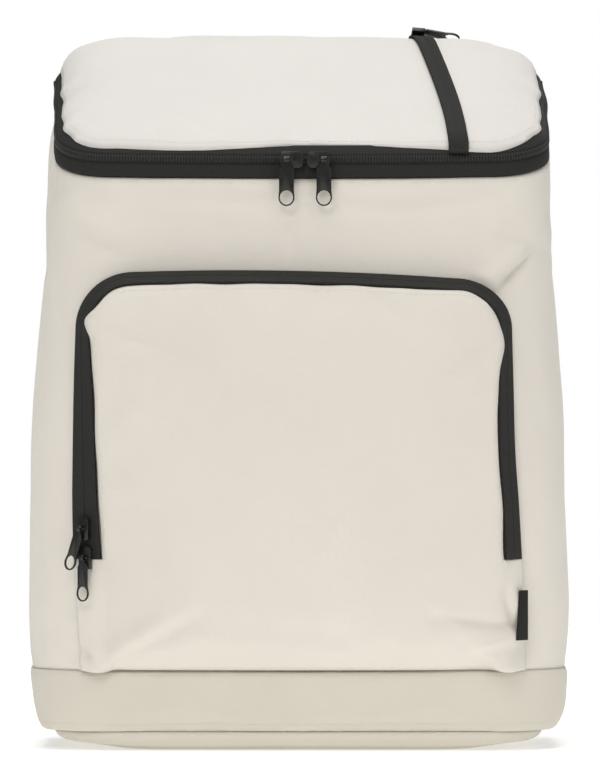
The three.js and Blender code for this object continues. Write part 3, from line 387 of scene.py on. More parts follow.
def arch(share, margin=0.0):
    """The front pocket's arch from the left foot over the top to the right foot: x, z and
    how far its edge stands off the wall. share 0 runs along the wall, 1 along the edge."""
    foot = BAND_TOP + 2 * SEAM_GAP
    shoulder = POCKET_TOP - POCKET_CORNER

    def read(column, z):
        return from_table(POCKET_SIDES, column, (z - foot) / (POCKET_TOP - foot))

    def slope(column, z):
        return GUSSET * read(column + "Inset", z)

    def side(column, z):
        return POCKET_HALF * read(column, z) - slope(column, z) * share - margin

    def edge(inset):
        return np.sqrt(np.maximum(0, GUSSET**2 - inset**2))

    top_slope = GUSSET * GUSSET_TOP_INSET

    def top(across):
        drop = POCKET_TOP_SAG * across + POCKET_TOP_CROWN * across**2
        return POCKET_TOP - drop - top_slope * share - margin

    heights = np.linspace(foot, shoulder, 40, endpoint=False)
    heights = np.sort([*heights, POCKET_ZIP_END - 2 * SEAM_GAP, POCKET_ZIP_END])
    centre = {
        column: side(column, shoulder) - POCKET_CORNER + slope(column, shoulder) * share
        for column in ("left", "right")
    }
    flanks = {}
    for column, sign in (("left", -1), ("right", 1)):
        points = [
            (sign * x, z, d)
            for x, z, d in zip(side(column, heights), heights, edge(slope(column, heights)))
        ]
        for i in range(ARCH_CORNER):
            angle = math.pi / 2 * i / ARCH_CORNER
            turn = i / ARCH_CORNER
            reach = side(column, shoulder) - centre[column]
            points.append((
                sign * (centre[column] + reach * math.cos(angle)),
                shoulder + (top(sign) - shoulder) * math.sin(angle),
                float(edge(mix(slope(column, shoulder), top_slope, turn))),
            ))
        flanks[column] = points
    across = []
    for i in range(49):
        share_x = -1 + 2 * i / 48
        x = mix(-centre["left"], centre["right"], i / 48)
        across.append((x, top(share_x), float(edge(top_slope))))
    return np.array([*flanks["left"], *across, *reversed(flanks["right"])])


def pinch(x, z):
    """How far the pocket's cloth is drawn over the zip at a place on its edge."""
    return sum(
        row["lap"] * np.exp(-((x - row["x"]) ** 2 + (z - row["z"]) ** 2) / row["radius"] ** 2)
        for row in PINCHES
    )


def pocket_edge():
    """The edge of the pocket's face, drawn over the zip where it is pinched."""
    line = arch(1)
    run = np.gradient(line[:, :2], axis=0)
    run /= np.linalg.norm(run, axis=1, keepdims=True)
    out = np.stack([-run[:, 1], run[:, 0]], 1)
    at = np.arange(len(line))
    uneven = 0.25 * np.sin(at * 0.5) + 0.2 * np.sin(at * 0.83 + 2)
    lap = pinch(line[:, 0], line[:, 1]) + uneven - EDGE_GAP
    ends = np.clip(np.minimum(at, len(line) - 1 - at) / 8, 0, 1)
    lap = mix(-EDGE_GAP, lap, ends)
    line[:, :2] += out * lap[:, None]
    return line


def strip_of_gusset(low, high, a, b, across):
    """Rows of points on the pocket's side, between heights low and high at its two ends, from
    share a to share b of the way from the wall to the pocket's edge."""
    outer, inner = arch(0), arch(1)
    middle = len(outer) // 2
    index = np.arange(len(outer))
    feet = (outer[:, 1] >= low) & (outer[:, 1] <= high)
    pieces = [index[feet & (index < middle)], index[feet & (index > middle)]]
    if high > POCKET_TOP:
        pieces = [index[outer[:, 1] >= low]]
    strips = []
    for keep in pieces:
        x, z, d = outer[keep].T
        wall = np.stack([x, wall_front(x, z) - TAPE - 2 * SEAM_GAP, z], 1)
        x, z, d = inner[keep].T
        edge = np.stack([x, wall_front(x, z) - d, z], 1)
        shares = np.linspace(a, b, across)
        strips.append(np.array([mix(wall, edge, s) for s in shares]))
    return strips


# Making meshes


def place(obj):
    bpy.context.scene.collection.objects.link(obj)
    return obj


def mesh_object(name, points, faces, uvs=None):
    """A mesh object from points in millimetres; uvs gives each point a place in the weave,
    in metres."""
    mesh = bpy.data.meshes.new(name)
    mesh.from_pydata((np.asarray(points) * MM).tolist(), [], [list(map(int, f)) for f in faces])
    if uvs is not None:
        corner = np.empty(len(mesh.loops), int)
        mesh.loops.foreach_get("vertex_index", corner)
        layer = mesh.uv_layers.new(name="weave")
        layer.data.foreach_set("uv", np.asarray(uvs, float)[corner].ravel())
    mesh.update()
    return place(bpy.data.objects.new(name, mesh))


def grid_object(name, grid, across=None, along=None):
    """A sheet of quads from rows of points. Its weave runs along the rows and up the columns."""
    grid = np.asarray(grid, float)
    count, width = grid.shape[:2]
    middle = grid[count // 2]
    steps = np.linalg.norm(np.diff(middle, axis=0), axis=1)
    u = np.concatenate([[0], np.cumsum(steps)]) if across is None else across
    column = grid[:, width // 2]
    rise = np.linalg.norm(np.diff(column, axis=0), axis=1)
    v = np.concatenate([[0], np.cumsum(rise)]) if along is None else along
    uvs = np.stack(np.meshgrid(u, v), -1).reshape(-1, 2) * MM
    faces = [
        (i * width + j, i * width + j + 1, (i + 1) * width + j + 1, (i + 1) * width + j)
        for i in range(count - 1)
        for j in range(width - 1)
    ]
    return mesh_object(name, grid.reshape(-1, 3), faces, uvs)


def along_line(points, count):
    """The same line with evenly spaced points."""
    points = np.asarray(points, float)
    steps = np.linalg.norm(np.diff(points, axis=0), axis=1)
    at = np.concatenate([[0], np.cumsum(steps)])
    want = np.linspace(0, at[-1], count)
    return np.stack([np.interp(want, at, points[:, k]) for k in range(points.shape[1])], 1)


def patch(outline, corners, steps=PATCH_STEPS):
    """Spreads a square net over a closed outline: gives each net point's outline point and
    its share of the way out from the middle. corners are four places in the outline."""
    outline = np.asarray(outline, float)
    sides = []
    for k in range(4):
        a, b = corners[k], corners[(k + 1) % 4]
        index = np.arange(a, b + 1 if b > a else b + len(outline) + 1) % len(outline)
        sides.append(along_line(outline[index], steps + 1))
    edge = np.zeros((steps + 1, steps + 1, outline.shape[1]))
    ring = np.zeros((steps + 1, steps + 1))
    for i in range(steps + 1):
        for j in range(steps + 1):
            a, b = -1 + 2 * j / steps, -1 + 2 * i / steps
            ring[i, j] = max(abs(a), abs(b))
            if ring[i, j] == 0:
                edge[i, j] = sides[0][0]
                continue
            a, b = a / ring[i, j], b / ring[i, j]
            if b <= -1:
                side, t = 0, (a + 1) / 2
            elif a >= 1:
                side, t = 1, (b + 1) / 2
            elif b >= 1:
                side, t = 2, (1 - a) / 2
            else:
                side, t = 3, (1 - b) / 2
            spot = t * steps
            k = min(int(spot), steps - 1)
            edge[i, j] = mix(sides[side][k], sides[side][k + 1], spot - k)
    return edge, ring


def points_of(obj):
    flat = np.empty(len(obj.data.vertices) * 3)
    obj.data.vertices.foreach_get("co", flat)
    return flat.reshape(-1, 3)


def normals_of(obj):
    flat = np.empty(len(obj.data.vertices) * 3)
    obj.data.vertices.foreach_get("normal", flat)
    return flat.reshape(-1, 3)


def set_points(obj, points):
    obj.data.vertices.foreach_set("co", points.ravel())
    obj.data.update()


def baked(obj):
    """The object with its modifiers turned into plain mesh."""
    deps = bpy.context.evaluated_depsgraph_get()
    mesh = bpy.data.meshes.new_from_object(obj.evaluated_get(deps))
    old = obj.data
    obj.modifiers.clear()
    obj.data = mesh
    mesh.name = obj.name
    bpy.data.meshes.remove(old)
    return obj


def face_outwards(obj, way=None):
    """Turns faces out: away from the bag's middle for a sheet, or towards way."""
    mesh = obj.data
    flow = 0.0
    for face in mesh.polygons:
        out = Vector(way) if way else Vector((face.center.x, face.center.y, 0))
        flow += face.normal.dot(out) * face.area
    if flow < 0:
        mesh.flip_normals()
    return obj


def border_of(obj):
    """The points on the open edge of a sheet."""
    shape = bmesh.new()
    shape.from_mesh(obj.data)
    found = sorted(v.index for v in shape.verts if v.is_boundary)
    shape.free()
    return found


def distance_to(obj, border):
    """Each point's distance to the nearest border point, and which one that is."""
    points = points_of(obj)
    tree = KDTree(len(border))
    for k, index in enumerate(border):
        tree.insert(points[index], k)
    tree.balance()
    found = [tree.find(p) for p in points]
    return np.array([f[2] for f in found]) / MM, np.array([f[1] for f in found])


def joined(*pieces):
    """One sheet from pieces whose borders meet."""
    shape = bmesh.new()
    for piece in pieces:
        shape.from_mesh(piece.data)
    bmesh.ops.remove_doubles(shape, verts=shape.verts, dist=0.02 * MM)
    bmesh.ops.recalc_face_normals(shape, faces=shape.faces)
    shape.to_mesh(pieces[0].data)
    shape.free()
    for piece in pieces[1:]:
        bpy.data.objects.remove(piece)
    return pieces[0]


def droop_corners(obj):
    """Lets the pocket's bottom corners bulge out and hang over the base band."""
    points = points_of(obj)
    for row in EARS:
        off = (points[:, 0] / MM - row["x"]) ** 2 + (points[:, 2] / MM - row["z"]) ** 2
        near = np.exp(-off / row["radius"] ** 2)[:, None]
        points += near * np.array([row["side"], -row["out"], -row["down"]]) * MM
    set_points(obj, points)
    return obj


def settle(obj, pressure, slack, cap, frames=16, hold=None):
    """Lets a sheet that is held along its seams swell and wrinkle, as sewn cloth does. hold
    gives each point its share of freedom."""
    before = points_of(obj)
    group = obj.vertex_groups.new(name="seam")
    group.add(border_of(obj), 1.0, "REPLACE")
    cloth = obj.modifiers.new("Cloth", "CLOTH")
    cloth.settings.quality = 6
    cloth.settings.mass = 0.25
    cloth.settings.tension_stiffness = 25
    cloth.settings.compression_stiffness = 25
    cloth.settings.shear_stiffness = 8
    cloth.settings.bending_stiffness = 0.6
    cloth.settings.air_damping = 4
    cloth.settings.use_pressure = True
    cloth.settings.uniform_pressure_force = pressure
    cloth.settings.shrink_min = -slack
    cloth.settings.vertex_group_mass = "seam"
    cloth.settings.effector_weights.gravity = 0
    cloth.collision_settings.use_collision = False
    cloth.point_cache.frame_end = frames
    scene = bpy.context.scene
    for number in range(1, frames + 1):
        scene.frame_set(number)
    baked(obj)
    scene.frame_set(1)
    moved = points_of(obj) - before
    length = np.linalg.norm(moved, axis=1, keepdims=True)
    limit = cap * MM
    moved *= limit * np.tanh(length / limit) / np.maximum(length, 1e-9)
    if hold is not None:
        moved *= hold(before / MM)[:, None]
    set_points(obj, before + moved)
    obj.vertex_groups.clear()
    return obj


def subdivided(obj, levels=1):
    smooth = obj.modifiers.new("Smooth", "SUBSURF")
    smooth.levels = smooth.render_levels = levels
    smooth.boundary_smooth = "PRESERVE_CORNERS"
    return baked(obj)


def crease(obj, table):
    """Presses creases into a sheet on the front, each with a soft ridge along one side."""
    points = points_of(obj)
    normals = normals_of(obj)
    x, z = points[:, 0] / MM, points[:, 2] / MM
    move = np.zeros(len(points))
    for row in table:
        dx, dz = row["x1"] - row["x0"], row["z1"] - row["z0"]
        length = math.hypot(dx, dz)
        along = ((x - row["x0"]) * dx + (z - row["z0"]) * dz) / length**2
        off = ((x - row["x0"]) * -dz + (z - row["z0"]) * dx) / length
        width = row["width"]
        past = np.maximum(0, np.abs(along - 0.5) - 0.5) * length
        taper = np.exp(-((past / (1.2 * width)) ** 2)) * np.clip(
            1 - 0.5 * np.abs(2 * along - 1), 0, 1
        )
        valley = np.exp(-((off / (0.6 * width)) ** 2))
        ridge = np.exp(-(((off - 1.3 * width) / (0.9 * width)) ** 2))
        move += row["depth"] * taper * (0.55 * ridge - valley)
    set_points(obj, points + normals * (move * MM)[:, None])
    return obj


def undulate(obj, height, size, seed, keep_border=8.0, hold=None):
    """Soft uneven waves over a sheet, dying away at its seams."""
    rng = np.random.default_rng(seed)
    points = points_of(obj)
    normals = normals_of(obj)
    wave = np.zeros(len(points))
    for _ in range(9):
        way = rng.normal(size=3)
        way *= rng.uniform(0.5, 1.3) / np.linalg.norm(way) / (size * MM)
        wave += np.sin(2 * math.pi * (points @ way) + rng.uniform(0, 6.28))
    away, _ = distance_to(obj, border_of(obj))
    fade = 1 - np.exp(-away / keep_border)
    if hold is not None:
        fade = fade * hold(points / MM)
    set_points(obj, points + normals * (wave / 3 * height * fade * MM)[:, None])
    return obj


def pucker(obj, height, wave_length, reach, seed):
    """The small gathers that stitching draws up beside a seam."""
    rng = np.random.default_rng(seed)
    border = border_of(obj)
    points = points_of(obj)
    normals = normals_of(obj)
    away, nearest = distance_to(obj, border)
    edge = points[border] / MM
    phase = sum(
        rng.uniform(0.5, 1)
        * np.sin(edge @ rng.normal(size=3) * 2 * math.pi / wave_length / k + rng.uniform(0, 6.28))
        for k in (0.8, 1.0, 1.35, 1.9)
    )
    rise = height * phase[nearest] / 2 * np.exp(-away / reach) * np.clip(away / 2.5, 0, 1)
    set_points(obj, points + normals * (rise * MM)[:, None])
    return obj


def roll_edges(obj, depth, reach, but_back=False):
    """Rolls a padded sheet's border down into its seam, except along the back panel."""
    points = points_of(obj)
    border = [
        k for k in border_of(obj) if not but_back or points[k, 1] < (SIDE_END - 1.5) * MM
    ]
    away, _ = distance_to(obj, border)
    drop = depth * np.clip(1 - away / reach, 0, 1) ** 2
    set_points(obj, points - normals_of(obj) * (drop * MM)[:, None])
    return obj


def closed_forwards(obj, y):
    """Closes a padded panel with straight sides to a flat inner face at y."""
    shape = bmesh.new()
    shape.from_mesh(obj.data)
    rim = [e for e in shape.edges if e.is_boundary]
    for share in (0.5, 1.0):
        made = bmesh.ops.extrude_edge_only(shape, edges=rim)["geom"]
        for vert in (v for v in made if isinstance(v, bmesh.types.BMVert)):
            vert.co.y = mix(vert.co.y, y * MM, share)
        rim = [e for e in made if isinstance(e, bmesh.types.BMEdge) and e.is_boundary]
    bmesh.ops.holes_fill(shape, edges=rim)
    bmesh.ops.triangulate(shape, faces=[f for f in shape.faces if len(f.verts) > 4])
    bmesh.ops.recalc_face_normals(shape, faces=shape.faces)
    shape.to_mesh(obj.data)
    shape.free()
    return obj


def thicken(obj, thickness):
    """Gives a sheet its cloth and padding, on the inside."""
    wall = obj.modifiers.new("Wall", "SOLIDIFY")
    wall.thickness = thickness * MM
    wall.offset = -1
    wall.use_rim = True
    wall.use_even_offset = False
    return baked(obj)


def smooth_shaded(obj, sharp=None):
    obj.data.polygons.foreach_set("use_smooth", [True] * len(obj.data.polygons))
    if sharp is not None:
        obj.data.set_sharp_from_angle(angle=math.radians(sharp))
    return obj


def coloured(obj, material):
    obj.data.materials.clear()
    obj.data.materials.append(material)
    return obj


def finish_piece(obj, material, slot, *nodes, body=BAG):
    coloured(obj, material)
    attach(obj, body)
    if nodes:
        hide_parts(*nodes)
    return obj


def copy_of(node, name):
    """A merged copy of a frame node, as a closed mesh of larger faces."""
    mesh = frame["nodes"][node].data.copy()
    mesh.name = name
    mesh.materials.clear()
    shape = bmesh.new()
    shape.from_mesh(mesh)
    bmesh.ops.remove_doubles(shape, verts=shape.verts, dist=2e-6)
    bmesh.ops.join_triangles(
        shape, faces=shape.faces, angle_face_threshold=math.radians(12),
        angle_shape_threshold=math.radians(60), cmp_seam=False, cmp_sharp=False,
        cmp_uvs=False, cmp_vcols=False, cmp_materials=False,
    )
    shape.to_mesh(mesh)
    shape.free()
    return place(bpy.data.objects.new(name, mesh))


def softened(node, name, levels=2):
    return subdivided(copy_of(node, name), levels)


def bevelled(node, name, width, segments=2, angle=35):
    obj = copy_of(node, name)
    mesh = obj.data
    shape = bmesh.new()
    shape.from_mesh(mesh)
    bmesh.ops.dissolve_limit(
        shape, angle_limit=math.radians(1), verts=shape.verts, edges=shape.edges
    )
    shape.to_mesh(mesh)
    shape.free()
    edge = obj.modifiers.new("Edge", "BEVEL")
    edge.width = width * MM
    edge.segments = segments
    edge.limit_method = "ANGLE"
    edge.angle_limit = math.radians(angle)
    baked(obj)
    shape = bmesh.new()
    shape.from_mesh(obj.data)
    bmesh.ops.remove_doubles(shape, verts=shape.verts, dist=2e-6)
    bmesh.ops.dissolve_degenerate(shape, edges=shape.edges, dist=2e-6)
    shape.to_mesh(obj.data)
    shape.free()
    return smooth_shaded(obj, 40)


def weave_from_box(obj, u=(1, 0, 0), v=(0, 0, 1)):
    """A weave map laid flat on a piece, in metres."""
    mesh = obj.data
    corner = np.empty(len(mesh.loops), int)
    mesh.loops.foreach_get("vertex_index", corner)
    points = points_of(obj)[corner]
    uvs = np.stack([points @ np.array(u, float), points @ np.array(v, float)], 1)
    layer = mesh.uv_layers.get("weave") or mesh.uv_layers.new(name="weave")
    layer.data.foreach_set("uv", uvs.ravel())
    return obj


# Shader maths


class Wire:
    """A socket in a material, on which plain arithmetic adds Math nodes."""

    def __init__(self, shader, socket):
        self.shader = shader
        self.socket = socket

    def _math(self, operation, *values):
        return self.shader.node(
            "ShaderNodeMath", {"operation": operation}, dict(enumerate(values))
        )

    def __add__(self, other):
        return self._math("ADD", self, other)

    __radd__ = __add__

    def __sub__(self, other):
        return self._math("SUBTRACT", self, other)

    def __rsub__(self, other):
        return self._math("SUBTRACT", other, self)

    def __mul__(self, other):
        return self._math("MULTIPLY", self, other)

    __rmul__ = __mul__

    def __abs__(self):
        return self._math("ABSOLUTE", self)

    def sin(self):
        return self._math("SINE", self)

    def above(self, level):
        return self._math("GREATER_THAN", self, level)

    def power(self, exponent):
        return self._math("POWER", self, exponent)


class Finish:
    """A material under construction."""

    def __init__(self, name, set_values=()):
        self.material = bpy.data.materials.new(name)
        self.material.use_nodes = True
        self.tree = self.material.node_tree
        self.surface = self.tree.nodes["Principled BSDF"]
        for key, value in dict(set_values).items():
            self.surface.inputs[key].default_value = value

    def node(self, kind, settings, values, output=0):
        made = self.tree.nodes.new(kind)
        for key, value in settings.items():
            if key == "stops":
                for stop, (at, colour) in zip(made.color_ramp.elements, value):
                    stop.position, stop.color = at, (*colour, 1)
            else:
                setattr(made, key, value)
        for key, value in values.items():
            if isinstance(value, Wire):
                self.tree.links.new(value.socket, made.inputs[key])
            else:
                made.inputs[key].default_value = value
        return Wire(self, made.outputs[output])

    def parts(self, vector):
        made = self.tree.nodes.new("ShaderNodeSeparateXYZ")
        self.tree.links.new(vector.socket, made.inputs[0])
        return [Wire(self, out) for out in made.outputs]

    def weave_map(self):
        return self.node("ShaderNodeUVMap", {"uv_map": "weave"}, {})

    def place(self):
        return self.node("ShaderNodeTexCoord", {}, {}, "Object")

    def noise(self, vector, scale, detail=2.0):
        return self.node(
            "ShaderNodeTexNoise", {}, {"Vector": vector, "Scale": scale, "Detail": detail}
        )

    def blend(self, share, a, b):
        return self.node(
            "ShaderNodeMix", {"data_type": "RGBA"},
            {0: share, 6: a, 7: b}, 2,
        )

    def colour(self, wire):
        self.tree.links.new(wire.socket, self.surface.inputs["Base Color"])

    def roughness(self, wire):
        self.tree.links.new(wire.socket, self.surface.inputs["Roughness"])

    def bump(self, height, distance, strength=1.0):
        bumped = self.node(
            "ShaderNodeBump", {},
            {"Strength": strength, "Distance": distance * MM, "Height": height}, "Normal",
        )
        self.tree.links.new(bumped.socket, self.surface.inputs["Normal"])


def shade(colour, factor):
    return (*[min(1.0, c * factor) for c in colour[:3]], 1.0)


def woven(name, colour, threads_per_cm, depth=0.12, mottle=0.06, rough=0.86):
    """A plain weave with uneven threads and a slight mottle."""
    finish = Finish(name, {"Roughness": rough, "Sheen Weight": 0.15, "Sheen Roughness": 0.5})
    u, v, _ = finish.parts(finish.weave_map())
    turn = math.pi * threads_per_cm * 100
    across, up = (u * turn).sin(), (v * turn).sin()
    over = (across * up).above(0.0)
    height = over * abs(up) + (1 - over) * abs(across)
    place = finish.place()
    slub = finish.noise(place, 900.0, 1.0)
    large = finish.noise(place, 14.0, 3.0)
    shadow = 1 - height
    tone = finish.blend(large, shade(colour, 1 - mottle), shade(colour, 1 + mottle * 0.6))
    tone = finish.blend(shadow.power(2.0) * 0.35, tone, shade(colour, 0.72))
    finish.colour(finish.blend(slub * 0.12, tone, shade(colour, 0.88)))
    finish.roughness(large * 0.08 + (rough - 0.04))
    finish.bump(height + slub * 0.35, depth, 0.7)
    return finish.material


def ribbed(name, colour, ribs_per_cm, depth=0.15, rough=0.78):
    """A tape or webbing with ribs across it."""
    finish = Finish(name, {"Roughness": rough, "Specular IOR Level": 0.3})
    u, v, _ = finish.parts(finish.weave_map())
    turn = math.pi * ribs_per_cm * 100
    rib = abs((u * turn).sin())
    cross = abs((v * (turn * 1.7)).sin())
    place = finish.place()
    wear = finish.noise(place, 60.0, 3.0)
    fluff = finish.noise(place, 1500.0, 1.0)
    height = rib * 0.8 + cross * 0.2
    # Painted shade and highlight: the grooves between the ribs are painted darker and the ribs'
    # tops lighter, as light falls across them.
    tone = finish.blend(height, shade(colour, 0.55), shade(colour, 1.25))
    finish.colour(finish.blend(wear * 0.25 + fluff * 0.12, tone, shade(colour, 1.7)))
    finish.roughness(wear * 0.12 + (rough - 0.06))
    finish.bump(height + fluff * 0.3, depth, 0.8)
    return finish.material


def enamel(name, colour):
    """Dark satin enamel on cast metal, rubbed lighter in places."""
    finish = Finish(name, {"Metallic": 0.55, "Coat Weight": 0.2, "Coat Roughness": 0.3})
    place = finish.place()
    rubbed = finish.noise(place, 220.0, 4.0)
    cast = finish.noise(place, 1400.0, 2.0)
    finish.colour(finish.blend(rubbed.power(3.0), shade(colour, 0.8), shade(colour, 2.6)))
    finish.roughness(rubbed * 0.2 + 0.2)
    finish.bump(cast, 0.05, 0.3)
    return finish.material


def moulded(name, colour):
    """Matt moulded plastic with a fine spark grain."""
    finish = Finish(name, {"Specular IOR Level": 0.45})
    place = finish.place()
    grain = finish.noise(place, 1800.0, 2.0)
    cloud = finish.noise(place, 40.0, 2.0)
    finish.colour(finish.blend(cloud, shade(colour, 0.85), shade(colour, 1.25)))
    finish.roughness(grain * 0.15 + 0.42)
    finish.bump(grain, 0.04, 0.4)
    return finish.material


def yarn(name, colour):
    """Sewing thread: a fine twist, a little shiny."""
    finish = Finish(name, {"Sheen Weight": 0.3})
    place = finish.place()
    x, y, z = finish.parts(place)
    twist = abs(((x + y + z) * 9000.0).sin())
    tint = finish.noise(place, 300.0, 1.0)
    # Painted shade: the twist's grooves are painted darker. The tint's random patches are the
    # thread's own tone.
    finish.colour(finish.blend(twist * 0.3 + tint * 0.2, shade(colour, 1.0), shade(colour, 0.75)))
    finish.roughness(tint * 0.1 + 0.62)
    finish.bump(twist, 0.04, 0.5)
    return finish.material


def nylon(name, colour):
    """The zip's coil: smooth nylon, faintly scuffed."""
    finish = Finish(name)
    place = finish.place()
    scuff = finish.noise(place, 500.0, 2.0)
    finish.colour(finish.blend(scuff, shade(colour, 0.8), shade(colour, 1.5)))
    finish.roughness(scuff * 0.2 + 0.3)
    finish.bump(scuff, 0.02, 0.3)
    return finish.material


MATERIALS = {}


# Repeats along a line, by Geometry Nodes


def repeat_tree():
    """Beads of one shape along a line: used for stitches and for the zips' teeth."""
    tree = bpy.data.node_groups.get("Repeat along line")
    if tree:
        return tree
    tree = bpy.data.node_groups.new("Repeat along line", "GeometryNodeTree")
    face = tree.interface
    face.new_socket("Geometry", in_out="INPUT", socket_type="NodeSocketGeometry")
    for name, default in (
        ("Spacing", 0.003), ("Length", 0.002), ("Width", 0.0006), ("Height", 0.0005),
        ("Sideways", 0.0), ("Lift", 0.0),
    ):
        socket = face.new_socket(name, in_out="INPUT", socket_type="NodeSocketFloat")
        socket.default_value = default
    face.new_socket("Material", in_out="INPUT", socket_type="NodeSocketMaterial")
    face.new_socket("Geometry", in_out="OUTPUT", socket_type="NodeSocketGeometry")

    def add(kind, values=None, **settings):
        made = tree.nodes.new(kind)
        for key, value in settings.items():
            setattr(made, key, value)
        for key, value in (values or {}).items():
            if isinstance(value, bpy.types.NodeSocket):
                tree.links.new(value, made.inputs[key])
            else:
                made.inputs[key].default_value = value
        return made

    sizes = add("NodeGroupInput").outputs
    out_way = add("GeometryNodeInputNamedAttribute", {"Name": "out"}, data_type="FLOAT_VECTOR")
    line = add("GeometryNodeMeshToCurve", {"Mesh": sizes["Geometry"]})
    even = add(
        "GeometryNodeResampleCurve",
        {"Curve": line.outputs[0], "Length": sizes["Spacing"]}, mode="LENGTH",
    )
    tangent = add("GeometryNodeInputTangent")
    along = add(
        "FunctionNodeAlignRotationToVector", {"Vector": tangent.outputs[0]}, axis="X"
    )
    turned = add(
        "FunctionNodeAlignRotationToVector",
        {"Rotation": along.outputs[0], "Vector": out_way.outputs[0]},
        axis="Z", pivot_axis="X",
    )
    bead = add("GeometryNodeMeshUVSphere", {"Segments": 8, "Rings": 4, "Radius": 0.5})
    scale = add(
        "ShaderNodeCombineXYZ",
        {"X": sizes["Length"], "Y": sizes["Width"], "Z": sizes["Height"]},
    )
    shift = add("ShaderNodeCombineXYZ", {"Y": sizes["Sideways"], "Z": sizes["Lift"]})
    shaped = add(
        "GeometryNodeTransform",
        {"Geometry": bead.outputs[0], "Scale": scale.outputs[0], "Translation": shift.outputs[0]},
    )
    beads = add(
        "GeometryNodeInstanceOnPoints",
        {"Points": even.outputs[0], "Instance": shaped.outputs[0], "Rotation": turned.outputs[0]},
    )
    real = add("GeometryNodeRealizeInstances", {"Geometry": beads.outputs[0]})
    painted = add(
        "GeometryNodeSetMaterial", {"Geometry": real.outputs[0], "Material": sizes["Material"]}
    )
    result = add("NodeGroupOutput")
    tree.links.new(painted.outputs[0], result.inputs[0])
    return tree


def repeated(name, lines, material, body=BAG, slot="webbing", **sizes):
    """One mesh of beads along lines. Each line is points and outward ways, in millimetres."""
    points, edges, ways = [], [], []
    for line, out in lines:
        start = len(points)
        points.extend(line)
        ways.extend(out)
        edges.extend((start + i, start + i + 1) for i in range(len(line) - 1))
    mesh = bpy.data.meshes.new(name)
    mesh.from_pydata((np.array(points) * MM).tolist(), edges, [])
    layer = mesh.attributes.new("out", "FLOAT_VECTOR", "POINT")
    layer.data.foreach_set("vector", np.array(ways, float).ravel())
    obj = place(bpy.data.objects.new(name, mesh))
    tree = repeat_tree()
    repeat = obj.modifiers.new("Repeat", "NODES")
    repeat.node_group = tree
    for item in tree.interface.items_tree:
        if item.in_out == "INPUT" and item.name.lower() in sizes:
            repeat[item.identifier] = float(sizes[item.name.lower()]) * MM
        elif item.in_out == "INPUT" and item.name == "Material":
            repeat[item.identifier] = material
    baked(obj)
    for layer_name in [a.name for a in obj.data.attributes if a.name == "out"]:
        obj.data.attributes.remove(obj.data.attributes[layer_name])
    smooth_shaded(obj)
    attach(obj, body)
    return obj


def on_surface(obj, line, lift=0.1):
    """A line laid on a piece's outer face, with the face's outward ways."""
    deps = bpy.context.evaluated_depsgraph_get()
    tree = BVHTree.FromObject(obj, deps)
    points, ways = [], []
    for p in line:
        spot, normal, _, _ = tree.find_nearest(Vector(p) * MM)
        points.append(np.array(spot + normal * lift * MM) / MM)
        ways.append(np.array(normal))
    return np.array(points), np.array(ways)


def on_skin(obj, line, way, lift=0.1, reach=40):
    """A line dropped onto a piece along a direction, from outside."""
    deps = bpy.context.evaluated_depsgraph_get()
    tree = BVHTree.FromObject(obj, deps)
    way = np.broadcast_to(np.asarray(way, float), (len(line), 3))
    points, ways = [], []
    for p, d in zip(line, way):
        start = (Vector(p) - Vector(d) * reach) * MM
        spot, normal, _, _ = tree.ray_cast(start, Vector(d))
        if spot is None:
            spot, normal, _, _ = tree.find_nearest(Vector(p) * MM)
        if normal.dot(Vector(d)) > 0:
            normal = -normal
        points.append(np.array(spot + normal * lift * MM) / MM)
        ways.append(np.array(normal))
    return np.array(points), np.array(ways)


# The sizes and colours that a user would change


class BackpackSettings(bpy.types.PropertyGroup):
    cloth_colour: bpy.props.FloatVectorProperty(
        name="Cloth", description="Colour of the body's cloth", subtype="COLOR", size=3,
        default=(0.775, 0.725, 0.645), min=0, max=1,
    )
    # Painted shade: the base band's and bottom pad's cloth is set darker and yellower than the
    # body's, for the shade that falls on the band below the pocket.
    base_colour: bpy.props.FloatVectorProperty(
        name="Base cloth", description="Colour of the base band's cloth", subtype="COLOR", size=3,
        default=(0.715, 0.672, 0.572), min=0, max=1,
    )
    lid_colour: bpy.props.FloatVectorProperty(
        name="Lid cloth", description="Colour of the lid's cloth", subtype="COLOR", size=3,
        default=(0.785, 0.75, 0.706), min=0, max=1,
    )
    zip_colour: bpy.props.FloatVectorProperty(
        name="Zip tape", description="Colour of the zips' tape", subtype="COLOR", size=3,
        default=(0.0160, 0.0158, 0.0138), min=0, max=1,
    )
    hardware_colour: bpy.props.FloatVectorProperty(
        name="Hardware", description="Colour of the sliders and pulls", subtype="COLOR", size=3,
        default=(0.02, 0.02, 0.018), min=0, max=1,
    )
    threads: bpy.props.FloatProperty(
        name="Threads per cm", description="How fine the cloth's weave is", default=15.0,
        min=5, max=40,
    )
    stitch: bpy.props.FloatProperty(
        name="Stitch length", description="Length of a stitch and its gap", default=0.0032,
        min=0.001, max=0.01, unit="LENGTH",
    )
    tooth: bpy.props.FloatProperty(
        name="Tooth spacing", description="Distance between the lid zip's teeth",
        default=0.0017, min=0.0008, max=0.004, unit="LENGTH",
    )
    camera_distance: bpy.props.FloatProperty(
        name="Camera distance", description="From the bag to the camera", default=6.0,
        min=1, max=20, unit="LENGTH",
    )
    camera_rise: bpy.props.FloatProperty(
        name="Camera rise", description="How far the camera looks down",
        default=math.radians(1.0), subtype="ANGLE", unit="ROTATION",
    )


def settings():
    return bpy.context.scene.backpack


